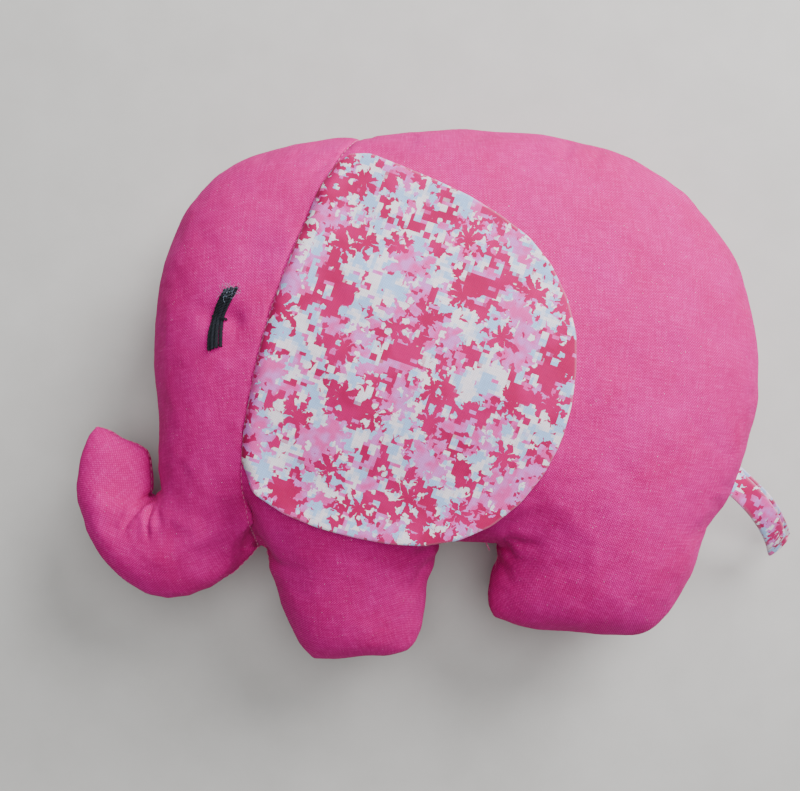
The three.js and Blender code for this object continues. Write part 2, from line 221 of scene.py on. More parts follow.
def distanceToLine(points, line, closed=False):
    # distance from each point to a polyline, and how far along the line the nearest place is
    if closed:
        line = np.vstack([line, line[:1]])
    ways = np.diff(line, axis=0)
    sizes = np.maximum(np.linalg.norm(ways, axis=1), 1e-9)
    runs = np.concatenate([[0], np.cumsum(sizes)])
    best = np.full(len(points), 1e9)
    along = np.zeros(len(points))

    def measure(spots, k):
        t = np.clip(((points[spots] - line[k]) * ways[k]).sum(axis=1) / sizes[k] ** 2, 0, 1)
        d = np.linalg.norm(points[spots] - line[k] - t[:, None] * ways[k], axis=1)
        closer = d < best[spots]
        best[spots[closer]] = d[closer]
        along[spots[closer]] = (runs[k] + t * sizes[k])[closer]

    everyone = np.arange(len(points))
    if len(line) < 80:
        for k in range(len(ways)):
            measure(everyone, np.full(len(points), k))
        return best, along
    # a long line: look only at the pieces beside the nearest sample
    samples = [(*(line[k] + ways[k] * t), 0) for k in range(len(ways)) for t in (0.25, 0.75)]
    tree = KDTree(len(samples))
    for k, spot in enumerate(samples):
        tree.insert(spot, k // 2)
    tree.balance()
    nearest = np.array([tree.find((x, y, 0))[1] for x, y in points.tolist()])
    for step in (-1, 0, 1):
        k = nearest + step
        measure(everyone, k % len(ways) if closed else np.clip(k, 0, len(ways) - 1))
    return best, along


def hexPoints(low, high, step):
    points = []
    for k, y in enumerate(np.arange(low[1], high[1], step * math.sqrt(3) / 2)):
        xs = np.arange(low[0] + (k % 2) * step / 2, high[0], step)
        points.append(np.stack([xs, np.full(len(xs), y)], axis=1))
    return np.vstack(points)


def offsetRing(rim, depth, spacing):
    # points at an even depth inside the rim
    loop = resample(rim, spacing, closed=True)
    way = np.roll(loop, -1, axis=0) - np.roll(loop, 1, axis=0)
    way /= np.linalg.norm(way, axis=1)[:, None]
    ring = loop + np.column_stack([-way[:, 1], way[:, 0]]) * depth
    ring = ring[insideLoop(ring, rim)]
    ring = ring[distanceToLine(ring, rim, closed=True)[0] > 0.9 * depth]
    kept = []
    for point in ring:
        if not kept or np.linalg.norm(np.array(kept) - point, axis=1).min() > 0.6 * spacing:
            kept.append(point)
    return np.array(kept)


def flatPattern(rim, step, seam=None, rings=()):
    # triangles over the whole outline, with edges along the rim and along the seam
    inner = hexPoints(rim.min(axis=0), rim.max(axis=0), step)
    inner = inner[insideLoop(inner, rim)]
    border = 0.62 * step + (rings[-1][0] if rings else 0)
    inner = inner[distanceToLine(inner, rim, closed=True)[0] > border]
    inner = np.vstack([offsetRing(rim, depth, spacing) for depth, spacing in rings] + [inner])
    count = len(rim)
    chains = []
    points = [rim]
    if seam is not None:
        inner = inner[distanceToLine(inner, seam)[0] > 0.55 * step]
        points.append(seam[1:-1])
        first = int(np.argmin(np.linalg.norm(rim - seam[0], axis=1)))
        final = int(np.argmin(np.linalg.norm(rim - seam[-1], axis=1)))
        chain = [first] + list(range(count, count + len(seam) - 2)) + [final]
        chains = list(zip(chain, chain[1:]))
    points = np.vstack(points + [inner])
    made = geometry.delaunay_2d_cdt(
        [Vector(p) for p in points], chains, [list(range(count))], 1, 1e-7)
    verts = np.array([tuple(v) for v in made[0]])
    onRim = np.array([bool(o) and o[0] < count for o in made[3]])
    rimOrder = {o[0]: i for i, o in enumerate(made[3]) if o and o[0] < count}
    return verts, [tuple(f) for f in made[2]], onRim, [rimOrder[k] for k in range(count)]


def cotangents(points, faces):
    # pairs of vertices with their cotangent weights
    faces = np.asarray(faces)
    rows, cols, weights = [], [], []
    for k in range(3):
        i, j, o = faces[:, k], faces[:, (k + 1) % 3], faces[:, (k + 2) % 3]
        u, v = points[i] - points[o], points[j] - points[o]
        cross = np.abs(u[:, 0] * v[:, 1] - u[:, 1] * v[:, 0])
        w = 0.5 * np.clip((u * v).sum(axis=1) / np.maximum(cross, 1e-12), 0.02, 20)
        rows += [i, j]
        cols += [j, i]
        weights += [w, w]
    return np.concatenate(rows), np.concatenate(cols), np.concatenate(weights)


def bulge(points, faces, onRim):
    # the height of a soap film under even pressure, by conjugate gradients
    rows, cols, weights = cotangents(points, faces)
    size = len(points)
    faces = np.asarray(faces)
    a, b, c = points[faces[:, 0]], points[faces[:, 1]], points[faces[:, 2]]
    area = 0.5 * np.abs((b - a)[:, 0] * (c - a)[:, 1] - (b - a)[:, 1] * (c - a)[:, 0])
    load = np.zeros(size)
    for k in range(3):
        np.add.at(load, faces[:, k], area / 3)
    diagonal = np.bincount(rows, weights, size)
    free = ~onRim
    x = np.zeros(size)
    r = load * free
    z = r / diagonal
    p = z.copy()
    product = r @ z
    for _ in range(600):
        q = (diagonal * p - np.bincount(rows, weights * p[cols], size)) * free
        step = product / (p @ q)
        x += step * p
        r = r - step * q
        if np.abs(r).max() < 1e-9 * load.max():
            break
        z = r / diagonal
        renewed = r @ z
        p = z + renewed / product * p
        product = renewed
    return x


def outlineOf(node):
    # the outline of a CAD node seen along z
    bm = mergedNode(node)
    shares = np.linspace(0, 1, 13)[:, None]
    cloud = np.vstack([np.array(e.verts[0].co[:2]) * (1 - shares) + np.array(e.verts[1].co[:2]) * shares
                       for e in bm.edges])
    bm.free()
    centre = (cloud.min(axis=0) + cloud.max(axis=0)) / 2
    away = cloud - centre
    reach = np.linalg.norm(away, axis=1)
    turn = np.arctan2(away[:, 1], away[:, 0])
    bins = 300
    slot = ((turn + math.pi) / (2 * math.pi) * bins).astype(int) % bins
    order = np.argsort(reach)
    best = np.zeros(bins, dtype=int)
    best[slot[order]] = order
    far = reach[best]
    typical = np.median([np.roll(far, k) for k in (-2, -1, 0, 1, 2)], axis=0)
    return cloud[best[far > typical - 0.5 * mm]]


stuffing = {
    "meshStep": 3.3 * mm,      # edge length of the cloth mesh before it is subdivided
    "rimStep": 2.3 * mm,       # the same along the sewn rim
    "rings": ((0.9 * mm, 2.3 * mm), (2.6 * mm, 2.8 * mm)),  # depth and spacing of the rows beside the rim
    "cornerRadius": 0.6 * mm,  # how much the sewn corners round off
    "rise": 45.5 * mm,         # crown of the upper side over the seam plane
    "drop": 46.5 * mm,         # depth of the lower side, before the floor flattens it
    "roundness": 0.48,         # lower is boxier
    "floorBlend": 1.5 * mm,    # how softly the lower side turns into its flat patch
    "earRecess": 3.4 * mm,     # room for the far ear between the toy and the floor
    "pressure": 4.0,           # of the cloth simulation
    "slack": 0.015,             # share by which the cloth is larger than its stuffing
    "frames": 18,
    "cap": 1.1 * mm,           # farthest that the simulation moves the cloth
    "rimHold": 9 * mm,         # the sewn rim keeps its outline over this width
}

bodyLoop = levelRing("near_body_panel")
headLoop = levelRing("near_head_panel")
bodyChain = outerChain(bodyLoop, headLoop)
headChain = outerChain(headLoop, bodyLoop)
outline = np.vstack([bodyChain, headChain[::-1][1:-1]])
rim = softenLoop(resample(outline, 0.4 * mm, closed=True), stuffing["cornerRadius"], 0.4 * mm)
if signedArea(rim) < 0:
    rim = rim[::-1]
fineRim = resample(rim, 0.8 * mm, closed=True)
rim = resample(rim, stuffing["rimStep"], closed=True)
headSeam = headSeamLine()
headSeam = headSeam[insideLoop(headSeam, fineRim)]
headSeam[0] = fineRim[np.argmin(np.linalg.norm(fineRim - headSeam[0], axis=1))]
headSeam[-1] = fineRim[np.argmin(np.linalg.norm(fineRim - headSeam[-1], axis=1))]
earRim = {side: softenLoop(resample(outlineOf(side + "_ear_face"), 0.5 * mm, closed=True), 1.1 * mm, 0.5 * mm)
          for side in ("near", "far")}
earRim = {side: loop if signedArea(loop) > 0 else loop[::-1] for side, loop in earRim.items()}

coarseSeam = resample(headSeam, stuffing["meshStep"])
flat, flatFaces, onRim = flatPattern(rim, stuffing["meshStep"], coarseSeam, stuffing["rings"])[:3]
film = bulge(flat, flatFaces, onRim)
swell = film ** stuffing["roundness"]
swell /= swell.max()
upper = swell * stuffing["rise"]
earCover = distanceToLine(flat, earRim["far"], closed=True)[0]
earCover *= np.where(insideLoop(flat, earRim["far"]), 1, -1)
floorDepth = seamZ - stuffing["earRecess"] * smoothStep((earCover + 3 * mm) / (6 * mm))
lower = swell * stuffing["drop"]
floorBlend = stuffing["floorBlend"]
lower = -floorBlend * np.logaddexp(-lower / floorBlend, -floorDepth / floorBlend)
lower = np.where(onRim, 0, np.maximum(lower, 0))
print("pattern:", len(flat), "points,", len(flatFaces), "triangles")


def pillow():
    # one closed shell: the upper side, then the lower side, which share the sewn rim
    count = len(flat)
    twin = np.arange(count)
    inside = np.flatnonzero(~onRim)
    twin[inside] = count + np.arange(len(inside))
    top = np.column_stack([flat, seamZ + upper])
    bottom = np.column_stack([flat[inside], seamZ - lower[inside]])
    faces = list(flatFaces) + [[twin[i] for i in f[::-1]] for f in flatFaces]
    return np.vstack([top, bottom]), faces, twin


def inflate(verts, faces):
    # slack cotton over a firm filling: the cloth simulation adds the small buckles
    shell = newObject("slackCloth", verts, faces)
    rimGroup = shell.vertex_groups.new(name="sewn")
    rimGroup.add([int(i) for i in np.flatnonzero(onRim)], 1, "REPLACE")
    cloth = shell.modifiers.new("cloth", "CLOTH")
    setting = cloth.settings
    setting.vertex_group_mass = "sewn"
    setting.use_pressure = True
    setting.uniform_pressure_force = stuffing["pressure"]
    setting.shrink_min = -stuffing["slack"]
    setting.quality = 6
    setting.bending_stiffness = 0.2
    setting.effector_weights.gravity = 0
    cloth.collision_settings.use_collision = False
    cloth.point_cache.frame_start = 1
    cloth.point_cache.frame_end = stuffing["frames"]
    for step in range(1, stuffing["frames"] + 1):
        bpy.context.scene.frame_set(step)
    bakeModifiers(shell)
    moved = getVerts(shell) - verts
    bpy.context.scene.frame_set(1)
    bpy.data.objects.remove(shell)
    size = np.linalg.norm(moved, axis=1)
    print("cloth moved, mm: mean", round(size.mean() / mm, 2), "most", round(size.max() / mm, 2))
    fromRim = distanceToLine(verts[:, :2], rim, closed=True)[0]
    share = np.minimum(size, stuffing["cap"]) / np.maximum(size, 1e-9)
    return moved * (share * smoothStep(fromRim / stuffing["rimHold"]))[:, None]


shellVerts, shellFaces, twin = pillow()
shellVerts = shellVerts + inflate(shellVerts, shellFaces)
shellVerts[:, 2] = np.clip(shellVerts[:, 2], 0.05 * mm, seamZ + stuffing["rise"] + 1.5 * mm)

skin = {
    "levels": 2,               # subdivision of the cloth mesh
    "cloth": 0.5 * mm,
    "seamPull": 0.75 * mm,     # depth of the groove that a sewn seam pulls into the cloth
    "seamWidth": 1.2 * mm,
    "pucker": 0.13 * mm,       # gathers along the outer seam
    "puckerLength": 8.5 * mm,
    "puckerReach": 8 * mm,
    "bellyFold": 2.4 * mm,     # depth of the fold at the belly end of the head seam
    "bellyRoll": 3.8 * mm,     # and of the wide hollow round it
    "backFold": 0.45 * mm,     # and at its back end
    "lumps": 0.22 * mm,        # uneven filling
    "lumpSize": 19 * mm,
    "slackWaves": 0.045 * mm,   # finer unevenness of the cloth
    "slackSize": 7 * mm,
}



def concaveCorner():
    # the inner corner of the trunk's curl, where the rim of the head turns inward most sharply
    before, after = fineRim - np.roll(fineRim, 5, axis=0), np.roll(fineRim, -5, axis=0) - fineRim
    turning = before[:, 0] * after[:, 1] - before[:, 1] * after[:, 0]
    seamSide = np.interp(fineRim[:, 1], headSeam[:, 1], headSeam[:, 0])
    onTrunk = (fineRim[:, 0] < seamSide) & (distanceToLine(fineRim, headSeam)[0] > 20 * mm)
    return fineRim[np.argmin(np.where(onTrunk, turning, 1))]


def topOfBack(share):
    # a point of the upper rim, by its share of the body's length
    low, high = np.array(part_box("near_body_panel"))[:, :2]
    above = (low[0] + (high[0] - low[0]) * share, high[1])
    return fineRim[np.argmin(np.linalg.norm(fineRim - np.array(above), axis=1))]


# the corners and seam ends that the cloth is drawn towards
anchors = {
    "curl": concaveCorner(),
    "chin": headSeam[np.argmin(headSeam[:, 1])],
    "nape": headSeam[np.argmax(headSeam[:, 1])],
    "gapFront": np.array(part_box("closing_stitches")[0])[:2],
    "gapBack": np.array(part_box("closing_stitches")[1])[:2],
    "back": topOfBack(0.62),
}

# pulled creases: (anchor, depth, width, then the line's points from the anchor), in millimetres
creases = [
    ("curl", 0.8, 1.2, (-1.9, -1.9), (-5.1, -4.0), (-8.4, -5.7)),
    ("curl", 1.2, 1.0, (-1.9, -2.4), (-6.2, -7.3), (-10.0, -12.1), (-11.3, -16.4)),
    ("curl", 1.2, 0.9, (-0.7, -2.4), (-1.6, -7.8), (-1.9, -13.2), (-1.5, -18.0)),
    ("curl", 0.6, 1.6, (0.3, -3.0), (1.6, -8.9), (3.5, -14.8)),
    ("gapBack", 1.2, 1.2, (1.1, 3.3), (3.7, -0.3), (6.5, -5.1)),
    ("gapBack", 1.0, 1.6, (1.9, 4.5), (7.5, 2.7), (14.5, 2.1)),
    ("gapBack", 0.7, 2.2, (0.5, 6.3), (5.5, 11.3), (13.5, 15.3)),
    ("gapBack", 0.9, 1.8, (-1.9, -3.1), (2.1, -7.3), (4.5, -13.7)),
    ("gapFront", 0.9, 1.6, (0.2, 3.0), (-5.3, 0.5), (-12.3, -0.5)),
    ("gapFront", 0.7, 1.6, (-1.3, -2.5), (-7.3, -6.5), (-11.3, -13.5)),
    ("chin", 0.7, 1.8, (1.8, 0.3), (8.3, -2.7), (16.3, -3.7)),
    ("back", 0.6, 1.8, (0.0, -3.0), (-3.0, -9.0), (-5.0, -16.0)),
    ("back", 0.6, 1.6, (11.0, -6.0), (7.5, -12.0), (6.0, -18.0)),
    ("back", 0.5, 1.6, (22.0, -11.0), (18.5, -16.0), (17.0, -21.0)),
    ("nape", 0.7, 1.8, (-3.0, -9.3), (6.0, -11.3), (15.0, -14.3)),
    ("nape", 0.6, 1.8, (-9.0, -11.3), (-15.0, -17.3), (-21.0, -20.3)),
]
print("anchors:", {name: [round(float(v) / mm, 1) for v in place] for name, place in anchors.items()})


def alongNode(node, count):
    # the middle line of a long CAD node, as points from its low end in y to its high end
    cloud = np.array([v.co[:] for v in frame["nodes"][node].data.vertices])
    centre = cloud.mean(axis=0)
    way = np.linalg.svd(cloud - centre, full_matrices=False)[2][0]
    way = way * np.sign(way[1])
    share = (cloud - centre) @ way
    edges = np.linspace(share.min(), share.max() + 1e-9, count + 1)
    return np.array([cloud[(share >= a) & (share < b)].mean(axis=0) for a, b in zip(edges, edges[1:])
                     if ((share >= a) & (share < b)).any()])


eyeStrands = {side: [alongNode(side + "_eye_strand_" + str(k), 7) for k in (1, 2, 3, 4)]
              for side in ("near", "far")}
tieBox = {side: np.array(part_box(side + "_eye_tie")) for side in ("near", "far")}


def dimples(side):
    # (place, depth, radius) where the eye's tie and its ends pull the cloth in
    low, high = tieBox[side][:, :2]
    middle = (low + high) / 2
    return [((low[0] - 1.2 * mm, middle[1] + 1.0 * mm), 1.1 * mm, 3.6 * mm),
            ((high[0] + 1.2 * mm, middle[1] - 1.0 * mm), 1.3 * mm, 3.4 * mm),
            ((middle[0], middle[1]), 0.9 * mm, 5.0 * mm)]


def detail(side, co):
    # how far each point of one side is pushed along its normal
    plan = co[:, :2]
    fromRim, alongRim = distanceToLine(plan, fineRim, closed=True)
    fromRim = np.hypot(fromRim, co[:, 2] - seamZ)
    fromSeam, alongSeam = distanceToLine(plan, headSeam)
    seamLength = np.linalg.norm(np.diff(headSeam, axis=0), axis=1).sum()
    gap = 1 - np.exp(-(fromRim / (1.6 * mm)) ** 2)
    push = -skin["seamPull"] * np.exp(-(fromRim / skin["seamWidth"]) ** 2)
    # the puckers change only along the rim, so the noise is read on one straight row
    row = np.full(len(plan), fineRim.mean(axis=0)[0])
    wave = softNoise(np.column_stack([alongRim, row]), skin["puckerLength"], 3 if side == "near" else 4)
    push += skin["pucker"] * wave * np.exp(-fromRim / skin["puckerReach"]) * gap
    push -= 0.7 * skin["seamPull"] * np.exp(-(fromSeam / skin["seamWidth"]) ** 2) * gap
    wave = softNoise(np.column_stack([alongSeam, 0 * alongSeam]), 9 * mm, 6)
    push += 0.25 * mm * wave * np.exp(-fromSeam / (5 * mm)) * (1 - np.exp(-(fromSeam / (1.5 * mm)) ** 2))
    belly = 1 - smoothStep((alongSeam - 10 * mm) / (20 * mm))
    back = smoothStep((alongSeam - seamLength + 13 * mm) / (12 * mm))
    trunkSide = plan[:, 0] < np.interp(plan[:, 1], headSeam[:, 1], headSeam[:, 0])
    fold = skin["bellyFold"] * np.exp(-(fromSeam / (1.8 * mm)) ** 1.4)
    fold += skin["bellyRoll"] * np.exp(-(fromSeam / np.where(trunkSide, 12 * mm, 5 * mm)) ** 2)
    # the fold runs out with the toy's thickness, so it reaches the rim without a step
    room = 0.6 * np.abs(co[:, 2] - seamZ) + 0.01 * mm
    push -= room * np.tanh(belly * fold / room)
    push -= back * skin["backFold"] * np.exp(-(fromSeam / (2.6 * mm)) ** 1.5)
    for anchor, depth, width, *line in creases:
        line = resample(anchors[anchor] + np.array(line) * mm, 1.5 * mm)
        away, along = distanceToLine(plan, line)
        length = np.linalg.norm(np.diff(line, axis=0), axis=1).sum()
        taper = np.sin(math.pi * np.clip(along / length, 0, 1) ** 0.62) ** 0.8
        ridge = np.exp(-((away - 2.3 * width * mm) / (1.3 * width * mm)) ** 2)
        push += depth * mm * taper * (0.3 * ridge - np.exp(-(away / (width * mm)) ** 2)) * gap
    for place, depth, radius in dimples(side):
        push -= depth * np.exp(-(np.linalg.norm(plan - np.array(place), axis=1) / radius) ** 2)
    push += skin["lumps"] * softNoise(co, skin["lumpSize"], 11) * gap
    push += skin["slackWaves"] * softNoise(co, skin["slackSize"], 12) * gap
    if side == "far":            # pressed flat where it lies on the floor
        push *= smoothStep((co[:, 2] - 0.3 * mm) / (5 * mm)) * 0.95 + 0.05
    return push


def snapRim(cloth):
    # subdivision rounds the sewn corners, so the rim is drawn back out to its outline
    co = getVerts(cloth)
    fromRim = np.hypot(distanceToLine(co[:, :2], fineRim, closed=True)[0], co[:, 2] - seamZ)
    bm = bmesh.new()
    bm.from_mesh(cloth.data)
    edge = sorted(v.index for v in bm.verts if v.is_boundary)
    bm.free()
    tree = KDTree(len(edge))
    for k, i in enumerate(edge):
        tree.insert(co[i], k)
    tree.balance()
    segments = np.roll(fineRim, -1, axis=0) - fineRim
    pull = np.zeros((len(edge), 3))
    for k, i in enumerate(edge):
        t = np.clip(((co[i, :2] - fineRim) * segments).sum(axis=1) / (segments ** 2).sum(axis=1), 0, 1)
        spots = fineRim + t[:, None] * segments
        best = spots[np.argmin(np.linalg.norm(spots - co[i, :2], axis=1))]
        pull[k] = (*(best - co[i, :2]), seamZ - co[i, 2])
    for i in np.flatnonzero(fromRim < 12 * mm):
        _, k, away = tree.find(co[i])
        co[i] += pull[k] * math.exp(-(away / (4 * mm)) ** 2)
    setVerts(cloth, co)


def unwrap(obj):
    # an even cotton weave needs a flat copy of the cloth, in metres
    bpy.context.view_layer.objects.active = obj
    obj.select_set(True)
    bpy.ops.object.mode_set(mode="EDIT")
    bpy.ops.mesh.select_all(action="SELECT")
    bpy.ops.uv.unwrap(method="MINIMUM_STRETCH")
    bpy.ops.object.mode_set(mode="OBJECT")
    obj.select_set(False)
    layer = obj.data.uv_layers.active.data
    uv = np.empty(len(layer) * 2)
    layer.foreach_get("uv", uv)
    uv = uv.reshape(-1, 2)
    loops = np.empty(len(obj.data.loops), dtype=int)
    obj.data.loops.foreach_get("vertex_index", loops)
    plan = getVerts(obj)[loops][:, :2]
    # turn and scale it so that it agrees with the plan where the cloth faces the viewer
    weight = np.clip(np.abs(getNormals(obj)[loops][:, 2]) - 0.85, 0, 1)[:, None]
    a = uv - (uv * weight).sum(axis=0) / weight.sum()
    b = plan - (plan * weight).sum(axis=0) / weight.sum()
    left, size, right = np.linalg.svd((a * weight).T @ b)
    turn = left @ right
    scale = size.sum() / (weight * a * a).sum()
    layer.foreach_set("uv", (a @ turn * scale).astype(np.float32).ravel())
    print("unwrapped", obj.name, "scale", round(float(scale), 4))


def sidePanels(side):
    # the cloth of one side, with its seams, folds and lumps
    order = np.arange(len(flat)) if side == "near" else twin
    faces = [f if side == "near" else f[::-1] for f in flatFaces]
    cloth = newObject(side + "Cloth", shellVerts[order], faces)
    centres = flat[np.array(flatFaces)].mean(axis=1)
    seamAt = np.interp(centres[:, 1], headSeam[:, 1], headSeam[:, 0])
    for paint in ("body", "head"):
        cloth.data.materials.append(bpy.data.materials.new(side + paint))
    cloth.data.polygons.foreach_set("material_index", (centres[:, 0] < seamAt).astype(np.int32))
    unwrap(cloth)
    finer = cloth.modifiers.new("finer", "SUBSURF")
    finer.levels = finer.render_levels = skin["levels"]
    bakeModifiers(cloth)
    snapRim(cloth)
    normals = getNormals(cloth)
    co = getVerts(cloth)
    co = co + normals * detail(side, co)[:, None]
    co[:, 2] = np.maximum(co[:, 2], 0.02 * mm)
    setVerts(cloth, co)
    return cloth


def cutPanel(cloth, index, name):
    panel = bpy.data.objects.new(name, cloth.data.copy())
    bpy.context.scene.collection.objects.link(panel)
    bm = bmesh.new()
    bm.from_mesh(panel.data)
    bmesh.ops.delete(bm, geom=[f for f in bm.faces if f.material_index != index], context="FACES")
    for face in bm.faces:
        face.material_index = 0
        face.smooth = True
    bm.to_mesh(panel.data)
    bm.free()
    panel.data.materials.clear()
    wall = panel.modifiers.new("cloth", "SOLIDIFY")
    wall.thickness = skin["cloth"]
    wall.offset = -1
    bakeModifiers(panel)
    return panel


def treeOf(obj):
    return BVHTree.FromPolygons(getVerts(obj).tolist(), [list(p.vertices) for p in obj.data.polygons])


def skinHeight(side, plan):
    # height of the cloth over each point of the plan, and its normal; NaN beside the toy
    heights = np.full(len(plan), np.nan)
    normals = np.zeros((len(plan), 3))
    for i, (x, y) in enumerate(plan):
        if side == "near":
            hit = clothTree[side].ray_cast(Vector((x, y, 1)), Vector((0, 0, -1)))
        else:
            hit = clothTree[side].ray_cast(Vector((x, y, -1)), Vector((0, 0, 1)))
        if hit[0] is not None:
            heights[i] = hit[0].z
            normals[i] = hit[1]
    return heights, normals


sideCloth = {side: sidePanels(side) for side in ("near", "far")}
clothTree = {side: treeOf(obj) for side, obj in sideCloth.items()}
panels = {}
for side in ("near", "far"):
    panels[side + "_body_panel"] = cutPanel(sideCloth[side], 0, side + "BodyPanel")
    panels[side + "_head_panel"] = cutPanel(sideCloth[side], 1, side + "HeadPanel")
for obj in sideCloth.values():
    bpy.data.objects.remove(obj)
print("cloth panels:", {n: len(p.data.polygons) for n, p in panels.items()})


class Wiring:
    # a short way to write a shader: each call adds one node and gives its first output
    def __init__(self, name):
        self.material = bpy.data.materials.new(name)
        self.material.use_nodes = True
        self.tree = self.material.node_tree
        self.shader = self.tree.nodes["Principled BSDF"]

    def add(self, kind, *inputs, out=0, named=None, **settings):
        node = self.tree.nodes.new(kind)
        for key, value in settings.items():
            setattr(node, key, value)
        for key, value in list(enumerate(inputs)) + list((named or {}).items()):
            if value is None:
                continue
            if isinstance(value, bpy.types.NodeSocket):
                self.tree.links.new(value, node.inputs[key])
            else:
                node.inputs[key].default_value = value
        return node.outputs[out]

    def math(self, operation, a, b=None, c=None, clamp=False):
        return self.add("ShaderNodeMath", a, b, c, operation=operation, use_clamp=clamp)

    def mix(self, share, a, b):
        return self.add("ShaderNodeMix", out=2, data_type="RGBA", named={0: share, 6: a, 7: b})

    def ramp(self, value, low, high):
        # 0 under low, 1 over high
        return self.add("ShaderNodeMapRange", value, low, high, 0.0, 1.0)

    def noise(self, place, scale, detail=2.0, rough=0.5):
        return self.add("ShaderNodeTexNoise",
                        named={"Vector": place, "Scale": scale, "Detail": detail, "Roughness": rough})

    def clothPlace(self, turn=0.0, stretch=(1, 1, 1)):
        # millimetres across the flat cloth
        flatPlace = self.add("ShaderNodeUVMap")
        size = tuple(1000 * s for s in stretch)
        return self.add("ShaderNodeMapping",
                        named={"Vector": flatPlace, "Rotation": (0, 0, turn), "Scale": size})

    def bump(self, height, strength, distance, after=None):
        return self.add("ShaderNodeBump",
                        named={"Strength": strength, "Distance": distance, "Height": height, "Normal": after})

    def set(self, **values):
        for key, value in values.items():
            socket = self.shader.inputs[key.replace("_", " ")]
            if isinstance(value, bpy.types.NodeSocket):
                self.tree.links.new(value, socket)
            else:
                socket.default_value = value


def rgb(red, green, blue):
    # screen colour to linear
    linear = [c / 255 / 12.92 if c <= 10 else ((c / 255 + 0.055) / 1.055) ** 2.4 for c in (red, green, blue)]
    return (*linear, 1)


def weave(w, place, pitch):
    # a plain weave: the height of the threads, and a value that differs from thread to thread
    wobble = w.noise(place, 0.9, 2.0)
    wobble = w.math("MULTIPLY", w.math("SUBTRACT", wobble, 0.5), 0.5 * pitch)
    split = w.tree.nodes.new("ShaderNodeSeparateXYZ")
    w.tree.links.new(place, split.inputs[0])
    rate = math.pi / pitch
    warp = w.math("COSINE", w.math("MULTIPLY", w.math("ADD", split.outputs[0], wobble), rate))
    weft = w.math("COSINE", w.math("MULTIPLY", w.math("ADD", split.outputs[1], wobble), rate))
    over = w.math("MULTIPLY_ADD", w.math("MULTIPLY", warp, weft), 1.4, 0.5, clamp=True)
    warp, weft = w.math("ABSOLUTE", warp), w.math("ABSOLUTE", weft)
    height = w.add("ShaderNodeMix", over, warp, weft, data_type="FLOAT")
    fine, coarse = 1 / (1.3 * pitch), 1 / (13 * pitch)
    along = w.add("ShaderNodeMapping", named={"Vector": place, "Scale": (fine, coarse, 1)})
    across = w.add("ShaderNodeMapping", named={"Vector": place, "Scale": (coarse, fine, 1)})
    slub = w.math("ADD", w.noise(along, 1.0, 1.0), w.noise(across, 1.0, 1.0))
    return height, w.math("MULTIPLY", slub, 0.5)


cottonLook = {
    "base": rgb(217, 12, 134),
    "light": rgb(232, 28, 160),
    # deep is also used as painted shade in the hollows between the threads
    "deep": rgb(142, 0, 62),
    "worn": rgb(244, 92, 184),
    "pitch": 0.45,            # thread spacing, mm
}


def pinkCotton():
    w = Wiring("pinkCotton")
    place = w.clothPlace()
    height, slub = weave(w, place, cottonLook["pitch"])
    cloud = w.noise(place, 0.045, 3.0, 0.55)
    heather = w.noise(place, 1.1, 2.0, 0.6)
    color = w.mix(w.ramp(cloud, 0.3, 0.75), cottonLook["base"], cottonLook["light"])
    color = w.mix(w.math("MULTIPLY", w.ramp(slub, 0.62, 0.3), 0.32), color, cottonLook["deep"])
    color = w.mix(w.math("MULTIPLY", w.ramp(slub, 0.5, 0.75), 0.3), color, cottonLook["worn"])
    color = w.mix(w.math("MULTIPLY", w.ramp(heather, 0.55, 0.8), 0.3), color, cottonLook["worn"])
    # painted shade: the hollows between the threads, where the weave is low, are darkened towards the deep
    # colour
    color = w.mix(w.math("MULTIPLY", w.ramp(height, 0.55, 0.15), 0.5), color, cottonLook["deep"])
    fleck = w.noise(place, 1.9, 1.0, 0.4)
    color = w.mix(w.math("MULTIPLY", w.ramp(fleck, 0.74, 0.8), 0.6), color, rgb(250, 214, 232))
    normal = w.bump(height, 0.55, 0.00009)
    normal = w.bump(slub, 0.5, 0.0002, normal)
    normal = w.bump(w.noise(place, 0.35, 3.0, 0.6), 0.35, 0.0006, normal)
    w.set(Base_Color=color, Normal=normal, Roughness=w.math("MULTIPLY_ADD", slub, 0.2, 0.72),
          Sheen_Weight=0.08, Sheen_Roughness=0.4, Sheen_Tint=rgb(255, 130, 205), Specular_IOR_Level=0.12)
    return w.material


printLook = {
    "crimson": rgb(184, 0, 84),
    "pink": rgb(238, 84, 172),
    "paleBlue": rgb(166, 208, 252),
    "white": rgb(252, 244, 252),
    "turn": math.radians(19),
    "step": 1.15,             # mm, the stepped edges of the pattern
}


